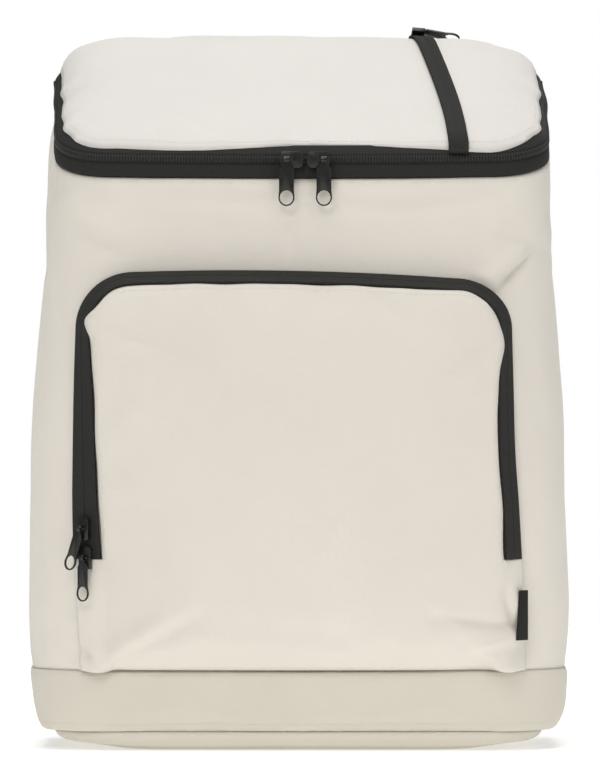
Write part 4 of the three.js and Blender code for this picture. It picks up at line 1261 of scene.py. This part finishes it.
def make_materials():
    s = settings()
    cloth, lid = tuple(s.cloth_colour), tuple(s.lid_colour)
    tape, metal = tuple(s.zip_colour), tuple(s.hardware_colour)
    MATERIALS.update(
        # Painted light: the body's and the pocket's cloth are copies of the strap's cloth, painted
        # 5 and 1.5 per cent lighter for the light that falls on them.
        body=woven("Body cloth", shade(cloth, 1.05), s.threads),
        lid=woven("Lid cloth", lid, s.threads),
        # Painted shade: the base cloth is set darker for the shade below the pocket.
        base=woven("Base cloth", tuple(s.base_colour), s.threads),
        pocket=woven("Pocket cloth", shade(cloth, 1.015), s.threads),
        strap=woven("Strap cloth", cloth, s.threads),
        tape=ribbed("Zip tape", tape, 12),
        webbing=ribbed("Webbing", shade(tape, 1.1), 9, depth=0.25),
        ribbon=ribbed("Ribbon", shade(tape, 0.7), 14, depth=0.1),
        metal=enamel("Slider enamel", metal),
        plastic=moulded("Buckle plastic", shade(metal, 1.2)),
        coil=nylon("Zip coil", shade(tape, 1.0)),
        thread=yarn("Thread", shade(cloth, 1.02)),
    )


# Pieces


class BACKPACK_OT_stage(bpy.types.Operator):
    """Floor, soft studio light and the camera"""

    bl_idname = "backpack.stage"
    bl_label = "Stage"

    def execute(self, context):
        scene = context.scene
        s = settings()
        mesh = bpy.data.meshes.new("floor")
        around = np.linspace(0, 2 * math.pi, 96, endpoint=False)
        ring = [(FLOOR_RADIUS * math.cos(a), FLOOR_RADIUS * math.sin(a), 0.0) for a in around]
        mesh.from_pydata(ring, [], [list(range(len(ring)))])
        floor = place(bpy.data.objects.new("floor", mesh))
        pale = Finish("Pale floor", {
            "Roughness": 0.9, "Emission Color": (1, 1, 1, 1), "Emission Strength": 0.36,
        })
        tone = pale.noise(pale.place(), 3.0, 2.0)
        pale.colour(pale.blend(tone, (0.93, 0.93, 0.93, 1), (0.95, 0.95, 0.95, 1)))
        coloured(floor, pale.material)

        world = bpy.data.worlds.new("Studio")
        world.use_nodes = True
        nodes, links = world.node_tree.nodes, world.node_tree.links
        nodes["Background"].inputs[0].default_value = (1, 1, 1, 1)
        seen = nodes.new("ShaderNodeLightPath").outputs["Is Camera Ray"]
        strength = nodes.new("ShaderNodeMapRange")
        strength.inputs["To Min"].default_value = 0.3
        strength.inputs["To Max"].default_value = 1.0
        links.new(seen, strength.inputs["Value"])
        links.new(strength.outputs[0], nodes["Background"].inputs[1])
        scene.world = world
        for name, at, size, power in (
            ("key", (-0.9, -2.8, 2.5), 1.6, 36.0),
            ("fill", (2.2, -2.2, 1.4), 2.0, 11.0),
            ("top", (0.0, -0.2, 2.8), 2.0, 43.0),
            ("behind", (1.0, 2.8, 1.6), 1.6, 12.0),
        ):
            light = bpy.data.lights.new(name, "AREA")
            light.size = size
            light.energy = power
            lamp = place(bpy.data.objects.new(name, light))
            lamp.location = at
            aim = Vector((0, 0, 0.22)) - Vector(at)
            lamp.rotation_euler = aim.to_track_quat("-Z", "Y").to_euler()

        camera = place(bpy.data.objects.new("camera", bpy.data.cameras.new("camera")))
        target = Vector((0.0009, 0.0, 0.2100))
        away = s.camera_distance
        rise = s.camera_rise
        camera.location = target + Vector((0, -math.cos(rise) * away, math.sin(rise) * away))
        camera.rotation_euler = (target - camera.location).to_track_quat("-Z", "Y").to_euler()
        camera.data.sensor_fit = "VERTICAL"
        camera.data.sensor_height = 24
        camera.data.lens = 24 * (away - 0.02) / (776 * 0.5866 * MM)
        camera.data.clip_end = 50
        scene.camera = camera
        scene.view_settings.view_transform = "Standard"
        return {"FINISHED"}


def wall_grid(table_rows):
    """Rows of points round the plan; each row gives its height at a zip height, and inset."""
    grid = []
    for height, inset in table_rows:
        z = height(ZIP_AT)
        near = np.clip(1 - (ZIP_AT + WALL_RIM - z) / TUCK_REACH, 0, 1)
        grid.append(plan(z, inset + TUCK * near**2 * (3 - 2 * near))[0])
    return grid


def bottom_pad():
    """The padded floor: a rounded rim that turns up a little at its left and right ends."""
    rim = plan(0 * ZIP_AT + PAD_HEIGHT, BAND_TUCK - PAD_PROUD)[0] * [PAD_NARROWER, 1, 1]
    back = [
        [0.97 * mix(rim[-1, 0], rim[0, 0], i / 40), BACK - 3, PAD_HEIGHT] for i in range(41)
    ]
    rim = np.array([*rim, *back, rim[0]])
    middle = np.array([0, (rim[:, 1].min() + rim[:, 1].max()) / 2, 0])
    out = (rim - middle) * [1, 1, 0]
    out /= np.linalg.norm(out, axis=1, keepdims=True)
    lift = PAD_EDGE_LIFT + PAD_END_LIFT * np.clip((np.abs(rim[:, 0]) - 84) / 60, 0, 1) ** 1.4
    grid = [middle + 0 * rim + [0, 0, PAD_HEIGHT], rim - out * 9]
    for angle in np.radians((0, 14, 30, 48, 66, 80, 90)):
        height = (PAD_HEIGHT + PAD_OVERLAP) * (1 - math.sin(angle))
        ring = rim - out * PAD_EDGE * (1 - math.cos(angle))
        ring[:, 2] = height + lift * math.sin(angle)
        grid.append(ring)
    inner = grid[-1].copy()
    inner[:, :2] = middle[:2] + (inner[:, :2] - middle[:2]) * 0.8
    inner[:, 2] = 0
    grid += [inner, middle + 0 * rim]
    pad = grid_object("pad", np.array(grid))
    shape = bmesh.new()
    shape.from_mesh(pad.data)
    bmesh.ops.remove_doubles(shape, verts=shape.verts, dist=0.05 * MM)
    bmesh.ops.recalc_face_normals(shape, faces=shape.faces)
    shape.to_mesh(pad.data)
    shape.free()
    return pad


class BACKPACK_OT_walls(bpy.types.Operator):
    """The padded front and side wall, the base band and the bottom pad"""

    bl_idname = "backpack.walls"
    bl_label = "Walls and base"

    def execute(self, context):
        shares = np.linspace(0, 1, 56)
        swell = WALL_SWELL
        grid = wall_grid([
            (lambda zip_z, s=s: mix(BAND_TOP - 0.2, zip_z + WALL_RIM, s), swell)
            for s in shares
        ])
        wall = face_outwards(grid_object("wall", grid))
        settle(wall, 1.2, 0.006, 1.6)
        subdivided(wall)
        crease(wall, WALL_CREASES)
        undulate(wall, 0.5, 90, 3)
        pucker(wall, 0.35, 9, 7, 4)
        roll_edges(wall, 0.5, 3.0, but_back=True)
        smooth_shaded(thicken(wall, WALL - 0.6))
        finish_piece(wall, MATERIALS["body"], "body_cloth", "front_and_side_wall")

        low = PAD_HEIGHT + SEAM_GAP
        band_shares = np.linspace(0, 1, 15) ** 1.3
        tuck = BAND_TUCK * from_table(BAND_PROFILE, "tuck", band_shares)
        band_rows = [
            (lambda zip_z, s=s: mix(low, BAND_TOP, s) + 0 * zip_z, t)
            for s, t in zip(band_shares, tuck)
        ]
        band = face_outwards(grid_object("base_band_skin", wall_grid(band_rows)))
        settle(band, 1.0, 0.004, 1.5)
        subdivided(band)
        undulate(band, 0.8, 75, 5, 5)
        pucker(band, 0.3, 8, 5, 6)
        roll_edges(band, 0.5, 3, but_back=True)
        smooth_shaded(thicken(band, WALL - 0.6))
        finish_piece(band, MATERIALS["base"], "base_cloth", "base_band")

        pad = weave_from_box(smooth_shaded(bottom_pad()), (1, 0, 0), (0, 1, 0))
        finish_piece(pad, MATERIALS["base"], "base_cloth", "bottom_pad")
        return {"FINISHED"}


def beside_lid_pocket(points):
    """0 on the lid pocket's zip, which holds the lid's cloth flat, and 1 well away from it."""
    line, _ = lid_pocket_line(0, 0)
    x = np.interp(points[:, 1], line[:, 1], line[:, 0])
    return 1 - np.exp(-(((points[:, 0] - x) / 13) ** 2))


class BACKPACK_OT_lid(bpy.types.Operator):
    """The crowned padded lid"""

    bl_idname = "backpack.lid"
    bl_label = "Lid"

    def execute(self, context):
        front_left = SIDE_STEPS + CORNER_STEPS // 2
        front_right = SIDE_STEPS + CORNER_STEPS + FRONT_STEPS + CORNER_STEPS // 2
        ends = len(COLUMNS)
        back_right = ends + 2
        back_left = len(LID_EDGE) - 3
        edge, ring = patch(LID_EDGE, [front_left, front_right, back_right, back_left])
        x, y = edge[..., 0] * ring, edge[..., 1] * ring
        z = np.where(ring >= 1, edge[..., 2], lid_height(x, y, ring))
        grid = np.stack([x, y, z], -1)
        lid = face_outwards(grid_object("lid_skin", grid), (0, 0, 1))
        weave_from_box(lid, (1, 0, 0), (0, 1.06, 0))
        settle(lid, 1.5, 0.006, 1.6, hold=beside_lid_pocket)
        subdivided(lid)
        undulate(lid, 0.5, 80, 11, hold=beside_lid_pocket)
        pucker(lid, 0.35, 9, 8, 12)
        roll_edges(lid, 0.7, 4)
        smooth_shaded(thicken(lid, 5.4))
        finish_piece(lid, MATERIALS["lid"], "body_cloth", "lid")
        return {"FINISHED"}


def back_outline():
    bottom = PAD_HEIGHT + SEAM_GAP
    shoulder = PANEL_TOP - PANEL_CORNER
    z = np.linspace(bottom, shoulder, 60)
    share = np.clip((z - bottom) / (BAND_TOP - bottom), 0, 1)
    half = outline_at(z)[0] - BAND_TUCK * from_table(BAND_PROFILE, "tuck", share)
    right = list(zip(half, z))
    top_half = half[-1] - PANEL_CORNER
    for i in range(1, 9):
        angle = math.pi / 2 * i / 8
        right.append((
            top_half + PANEL_CORNER * math.cos(angle), shoulder + PANEL_CORNER * math.sin(angle)
        ))
    left = [(-x, z) for x, z in reversed(right)]
    return np.array(right + left), len(right)


class BACKPACK_OT_back_panel(bpy.types.Operator):
    """The padded back panel with its sewn channels"""

    bl_idname = "backpack.back_panel"
    bl_label = "Back panel"

    def execute(self, context):
        outline, count = back_outline()
        total = len(outline)
        corners = [total - 1, 0, count - 5, count + 4]
        edge, ring = patch(outline, corners)
        middle = PANEL_TOP / 2
        x, z = edge[..., 0] * ring, mix(middle, edge[..., 1], ring)
        y = BACK + PANEL_PUFF * (1 - ring**6)
        panel = face_outwards(grid_object("back_skin", np.stack([x, y, z], -1)), (0, 1, 0))
        weave_from_box(panel)
        subdivided(panel)
        points = points_of(panel)
        px, pz = points[:, 0] / MM, points[:, 2] / MM
        inside = np.clip((118 - np.abs(px)) / 12, 0, 1)
        channel = sum(np.exp(-(((pz - at) / 4.0) ** 2)) for at in (90, 160, 230, 300))
        rails = np.exp(-(((np.abs(px) - 118) / 4.0) ** 2))
        sink = 2.2 * np.maximum(channel * inside, rails * (pz > 40) * (pz < 350))
        points[:, 1] -= sink * MM
        set_points(panel, points)
        undulate(panel, 0.4, 70, 21)
        roll_edges(panel, 2.6, 6)
        smooth_shaded(closed_forwards(panel, SIDE_END + 2 * SEAM_GAP), 50)
        finish_piece(panel, MATERIALS["body"], "body_cloth", "back_panel")
        return {"FINISHED"}


def pocket_face_grid():
    """Rows of points over the pocket's face, from its left edge to its right edge."""
    edge_line = pocket_edge()
    count = len(edge_line)
    foot_z = edge_line[0, 1]
    foot = [
        (mix(edge_line[-1, 0], edge_line[0, 0], i / 50), foot_z, CLOTH + 2 * SEAM_GAP)
        for i in range(1, 50)
    ]
    top_left = int(np.argmin(np.hypot(edge_line[:, 0] + 118, edge_line[:, 1] - 268)))
    top_right = int(np.argmin(np.hypot(edge_line[:, 0] - 112, edge_line[:, 1] - 264)))
    outline = np.array([*edge_line, *foot])
    edge, ring = patch(outline, [0, top_left, top_right, count - 1])
    middle = (POCKET_TOP + BAND_TOP) / 2
    x, z = edge[..., 0] * ring, mix(middle, edge[..., 1], ring)
    depth = mix(PLATEAU, edge[..., 2], ring**4) + BULGE * np.sqrt(1 - ring**3)
    across = np.clip((118 - np.abs(x)) / 30, 0, 1)
    sag = HEM_SAG * np.exp(-(((z - HEM_SAG_HEIGHT) / 10) ** 2)) * across
    return np.stack([x, wall_front(x, z) - depth - sag * (1 - ring**12), z], -1)


def pocket_side_grid(border):
    """Rows of points from the wall to the face's border, below the end of the zip."""
    wall = arch(0)
    half = wall[: len(wall) // 2] if border[0, 0] < 0 else wall[len(wall) // 2 :][::-1]
    x = np.interp(border[:, 2], half[:, 1], half[:, 0])
    wall = np.stack([x, wall_front(x, border[:, 2]) - TAPE - 2 * SEAM_GAP, border[:, 2]], 1)
    grid = []
    for share in np.linspace(0, 1, 6)[:-1]:
        swell = math.sin(math.pi * share) * np.clip((POCKET_ZIP_END - border[:, 2]) / 20, 0, 1)
        side = mix(wall, border, share)
        swell *= 1.0 if border[0, 0] < 0 else 0.3
        side[:, 1] -= 1.8 * swell
        side[:, 0] += np.sign(border[0, 0]) * 1.2 * swell
        grid.append(side)
    return np.array([*grid, border])


class BACKPACK_OT_front_pocket(bpy.types.Operator):
    """The bulging front pocket, one cloth with its sides below the zip"""

    bl_idname = "backpack.front_pocket"
    bl_label = "Front pocket"

    def execute(self, context):
        face_grid = pocket_face_grid()
        face = grid_object("pocket_skin", face_grid)
        sides = []
        for name, border in (("left", face_grid[0]), ("right", face_grid[-1])):
            low = border[border[:, 2] <= POCKET_ZIP_END]
            over = border[len(low)]
            share = (POCKET_ZIP_END - low[-1, 2]) / (over[2] - low[-1, 2])
            low = np.array([*low, mix(low[-1], over, share)])
            sides.append(grid_object(f"pocket_side_{name}", pocket_side_grid(low)))
        face = joined(face, *sides)
        face_outwards(face, (0, -1, 0))
        weave_from_box(face)
        settle(face, 1.2, 0.008, 3.0)
        subdivided(face)
        crease(face, POCKET_CREASES)
        undulate(face, 0.6, 80, 31)
        pucker(face, 0.4, 10, 8, 32)
        droop_corners(face)
        smooth_shaded(thicken(face, CLOTH))
        finish_piece(
            face, MATERIALS["pocket"], "body_cloth",
            "pocket_face", "pocket_gusset_left", "pocket_gusset_right",
        )
        return {"FINISHED"}


def lid_pocket_line(side, lift, count=60):
    """A line along the lid pocket's zip, from the lid's front edge over its crown, and the
    hem that turns down over that edge."""
    front_y = LID_EDGE[len(COLUMNS) // 2, 1] + LID_POCKET_SETBACK[0]
    back_y = LID_BACK_Y - LID_POCKET_SETBACK[1]
    start = -(LID_POCKET_SETBACK[0] - 0.4) / (back_y - front_y)
    share = mix(start, 1, np.linspace(0, 1, count) ** 1.6)
    sway = 2.2 * np.sin(math.pi * np.clip(share, 0, 1) ** 0.8)
    x = mix(LID_POCKET_X[0], LID_POCKET_X[1], share) + side + sway
    y = mix(front_y, back_y, share)
    z = lid_height(x, y, lid_ring(x, y))
    dx = (lid_height(x + 1, y, lid_ring(x + 1, y)) - z)
    dy = (lid_height(x, y + 1, lid_ring(x, y + 1)) - z)
    normal = np.stack([-dx, -dy, np.ones(count)], 1)
    normal /= np.linalg.norm(normal, axis=1, keepdims=True)
    line = np.stack([x, y, z], 1) + normal * lift
    edge = LID_EDGE[len(COLUMNS) // 2 + 18]
    down = np.linspace(2.2, 0.2, 4)[:, None] * [0, 0, -1]
    hem = np.array([line[0, 0], edge[1] - lift - 0.2, edge[2] + 1.2]) + down
    return line, hem


class BACKPACK_OT_zips(bpy.types.Operator):
    """The tapes and coils of the lid zip, the pocket zip and the lid pocket zip"""

    bl_idname = "backpack.zips"
    bl_label = "Zips"

    def execute(self, context):
        s = settings()
        tape = MATERIALS["tape"]

        def band(name, node, table_rows):
            rows_of_points = [plan(height(ZIP_AT), inset + TUCK)[0] for height, inset in table_rows]
            piece = face_outwards(grid_object(name, rows_of_points))
            smooth_shaded(thicken(piece, TAPE))
            return finish_piece(piece, tape, "zip_tape", node)

        low, top = LOWER_TAPE_TOP - LOWER_TAPE, LOWER_TAPE_TOP
        band("lid_zip_lower", "lid_zip_lower_tape", [
            (lambda z, h=mix(low, top, t): z + h, TAPE_SETBACK - 0.35 * math.sin(math.pi * t))
            for t in np.linspace(0, 1, 7)
        ])
        low, top = UPPER_TAPE_BOTTOM, UPPER_TAPE_BOTTOM + UPPER_TAPE
        band("lid_zip_upper", "lid_zip_upper_tape", [
            (lambda z, h=mix(low, top, t): z + h, mix(TAPE_SETBACK, LID_INSET, t**1.2))
            for t in np.linspace(0, 1, 7)
        ])
        core_rows = [
            (lambda z, h=h: z + COIL * h, TAPE_SETBACK - bulge)
            for h, bulge in ((-0.6, -0.1), (-0.3, 0.4), (0.0, 0.7), (0.3, 0.4), (0.6, -0.1))
        ]
        core_grid = [plan(height(ZIP_AT), inset + TUCK)[0] for height, inset in core_rows]
        core = face_outwards(grid_object("lid_zip_core", core_grid))
        smooth_shaded(thicken(core, COIL_BULGE + 0.6))
        finish_piece(core, tape, "zip_tape", "lid_zip_coil")
        coil_points, coil_out = plan(ZIP_AT, TAPE_SETBACK - 0.6 + TUCK)
        coil_points[:, 2] = ZIP_AT
        tooth = s.tooth / MM
        repeated(
            "lid_zip_teeth", [(coil_points, coil_out)], MATERIALS["coil"], slot="zip_tape",
            spacing=tooth, length=tooth * 0.62, width=COIL * 0.86, height=1.3, sideways=0, lift=0,
        )

        outer = strip_of_gusset(POCKET_ZIP_END, 999, 0, 0.49, 8)[0]
        inner = strip_of_gusset(POCKET_ZIP_END, 999, 0.51, 1, 8)[0]
        for name, node, grid in (
            ("pocket_zip_outer", "pocket_tape_outer", outer),
            ("pocket_zip_inner", "pocket_tape_inner", inner),
        ):
            piece = face_outwards(grid_object(name, grid), (0, -1, 0))
            smooth_shaded(thicken(piece, TAPE))
            finish_piece(piece, tape, "zip_tape", node)

        shares = np.linspace(-LID_POCKET_TAPE - 0.25, LID_POCKET_TAPE + 0.25, 9)
        grid = []
        for w in shares:
            lift = LID_POCKET_LIFT + TAPE - 0.45 * math.exp(-((w / 0.5) ** 2))
            line, hem = lid_pocket_line(w, 0)
            line, _ = on_skin(bpy.data.objects["lid_skin"], line, (0, 0, -1), lift)
            grid.append(np.array([*(hem - [0, lift, 0]), *line]))
        piece = face_outwards(grid_object("lid_pocket_zip", grid), (0, 0, 1))
        smooth_shaded(thicken(piece, TAPE))
        finish_piece(piece, tape, "zip_tape", "lid_pocket_tape_left", "lid_pocket_tape_right")
        return {"FINISHED"}


HARDWARE = rows(
    "node body",
    ("lid_slider_left", BAG), ("lid_slider_right", BAG), ("pocket_slider_lower", BAG),
    ("pocket_slider_upper", BAG), ("lid_pocket_slider", BAG),
    ("lid_pull_left", "left_lid_pull"), ("lid_pull_right", "right_lid_pull"),
    ("pocket_pull_lower", "lower_pocket_pull"), ("pocket_pull_upper", "upper_pocket_pull"),
    ("lid_pocket_pull", "top_pocket_pull"),
)


class BACKPACK_OT_hardware(bpy.types.Operator):
    """Sliders, pulls and buckles with their cast edges rounded"""

    bl_idname = "backpack.hardware"
    bl_label = "Sliders, pulls and buckles"

    def execute(self, context):
        for row in HARDWARE:
            piece = bevelled(row["node"], row["node"] + "_cast", 0.22)
            finish_piece(piece, MATERIALS["metal"], "zip_metal", row["node"], body=row["body"])
        for side in ("left", "right"):
            node = f"strap_buckle_{side}"
            piece = bevelled(node, node + "_moulded", 0.7, 3)
            finish_piece(piece, MATERIALS["plastic"], "buckle_plastic", node)
        return {"FINISHED"}


def strap_frame(obj):
    """A strap's middles and half widths, from its lower end to its sewn top."""
    points = points_of(obj) / MM
    middles, halves = [], []
    for low in np.arange(140, 382, 6.0):
        near = points[np.abs(points[:, 2] - low) < 3.2]
        if len(near) < 4:
            continue
        middle = (near.min(0) + near.max(0)) / 2
        middles.append([middle[0], near[:, 1].max(), low])
        halves.append((near[:, 0].max() - near[:, 0].min()) / 2)
    return np.array(middles), np.array(halves)


class BACKPACK_OT_straps(bpy.types.Operator):
    """The padded shoulder straps, their webbing and the tabs that hold it"""

    bl_idname = "backpack.straps"
    bl_label = "Shoulder straps"

    def execute(self, context):
        for side in ("left", "right"):
            strap = softened(f"shoulder_strap_{side}", f"strap_{side}", 3)
            weave_from_box(smooth_shaded(strap))
            middles, halves = strap_frame(strap)
            across = np.outer(halves - STRAP_STITCH_INSET, [1.0, 0.0, 0.0])
            lines = [
                on_skin(strap, middles + across * sign, (0, -1, 0), 0.05) for sign in (-1, 1)
            ]
            finish_piece(strap, MATERIALS["strap"], "body_cloth", f"shoulder_strap_{side}")
            repeated(
                f"strap_stitches_{side}", lines, MATERIALS["thread"], slot="body_cloth",
                spacing=3.2, length=2.3, width=0.5, height=0.35, sideways=0, lift=0,
            )
            for part in ("upper", "lower"):
                node = f"strap_webbing_{part}_{side}"
                web = weave_from_box(bevelled(node, node + "_woven", 0.35, 2), (0, 0, 1), (1, 0, 0))
                finish_piece(web, MATERIALS["webbing"], "webbing", node)
            node = f"strap_anchor_{side}"
            tab = weave_from_box(bevelled(node, node + "_cloth", 0.5, 2))
            finish_piece(tab, MATERIALS["strap"], "body_cloth", node)
        return {"FINISHED"}


class BACKPACK_OT_ribbon_tab(bpy.types.Operator):
    """The plain folded ribbon in the pocket's seam"""

    bl_idname = "backpack.ribbon_tab"
    bl_label = "Ribbon tab"

    def execute(self, context):
        tab = weave_from_box(bevelled("ribbon_tab", "ribbon", 0.3, 2), (0, 0, 1), (1, 0, 0))
        points = points_of(tab)
        low, high = points.min(0), points.max(0)
        up = (points[:, 2] - low[2]) / (high[2] - low[2])
        seam = np.array([high[0], high[1]])
        narrow = 1 - 0.26 * up**1.5
        points[:, :2] = seam + (points[:, :2] - seam) * narrow[:, None]
        points[:, 0] -= 0.4 * MM * np.sin(math.pi * up)
        points[:, 1] -= 1.3 * MM
        set_points(tab, points)
        finish_piece(tab, MATERIALS["ribbon"], "webbing", "ribbon_tab")
        return {"FINISHED"}


class BACKPACK_OT_stitching(bpy.types.Operator):
    """Topstitching beside the seams"""

    bl_idname = "backpack.stitching"
    bl_label = "Stitching"

    def execute(self, context):
        s = settings()
        pitch = s.stitch / MM
        sizes = dict(spacing=pitch, length=pitch * 0.72, width=0.45, height=0.3, sideways=0, lift=0)
        thread = MATERIALS["thread"]
        objects = bpy.data.objects

        def round_bag(height, inset=0.0):
            return plan(height(ZIP_AT), inset)[0]

        band_line = round_bag(lambda z: BAND_TOP - 3.2 + 0 * z)
        low_line = round_bag(lambda z: PAD_HEIGHT + 5.0 + 0 * z, 4)
        repeated(
            "band_stitches",
            [on_surface(objects["base_band_skin"], line) for line in (band_line, low_line)],
            thread, slot="base_cloth", **sizes,
        )
        wall_line = round_bag(lambda z: z + WALL_RIM - 2.6, TUCK)
        repeated(
            "wall_stitches", [on_surface(objects["wall"], wall_line)], thread,
            slot="body_cloth", **sizes,
        )
        edge = pocket_edge()
        run = np.gradient(edge[:, :2], axis=0)
        run /= np.linalg.norm(run, axis=1, keepdims=True)
        edge[:, :2] += np.stack([run[:, 1], -run[:, 0]], 1) * 2.4
        edge = edge[edge[:, 1] > POCKET_ZIP_END + 6]
        line = np.stack([edge[:, 0], wall_front(edge[:, 0], edge[:, 1]) - 10, edge[:, 1]], 1)
        repeated(
            "pocket_stitches", [on_skin(objects["pocket_skin"], line, (0, 1, 0))], thread,
            slot="body_cloth", **sizes,
        )
        inner = LID_EDGE[: len(COLUMNS)] * [0.975, 0.97, 1]
        repeated(
            "lid_stitches", [on_skin(objects["lid_skin"], inner, (0, 0, -1))], thread,
            slot="body_cloth", **sizes,
        )
        return {"FINISHED"}


class BACKPACK_PT_panel(bpy.types.Panel):
    """Makes the backpack's pieces and shows their settings"""

    bl_idname = "BACKPACK_PT_panel"
    bl_label = "Cooler backpack"
    bl_space_type = "VIEW_3D"
    bl_region_type = "UI"
    bl_category = "Backpack"

    def draw(self, context):
        for name in BackpackSettings.__annotations__:
            self.layout.prop(context.scene.backpack, name)
        for operator in OPERATORS:
            self.layout.operator(operator.bl_idname)


OPERATORS = (
    BACKPACK_OT_stage,
    BACKPACK_OT_walls,
    BACKPACK_OT_lid,
    BACKPACK_OT_back_panel,
    BACKPACK_OT_front_pocket,
    BACKPACK_OT_zips,
    BACKPACK_OT_hardware,
    BACKPACK_OT_straps,
    BACKPACK_OT_ribbon_tab,
    BACKPACK_OT_stitching,
)
CLASSES = (BackpackSettings, *OPERATORS, BACKPACK_PT_panel)


def register():
    for item in CLASSES:
        bpy.utils.register_class(item)
    bpy.types.Scene.backpack = bpy.props.PointerProperty(type=BackpackSettings)


def unregister():
    del bpy.types.Scene.backpack
    for item in reversed(CLASSES):
        bpy.utils.unregister_class(item)


def main():
    register()
    make_materials()
    bpy.ops.backpack.stage()
    bpy.ops.backpack.walls()
    bpy.ops.backpack.lid()
    bpy.ops.backpack.back_panel()
    bpy.ops.backpack.front_pocket()
    bpy.ops.backpack.zips()
    bpy.ops.backpack.hardware()
    bpy.ops.backpack.straps()
    bpy.ops.backpack.ribbon_tab()
    bpy.ops.backpack.stitching()


if __name__ == "__main__":
    main()
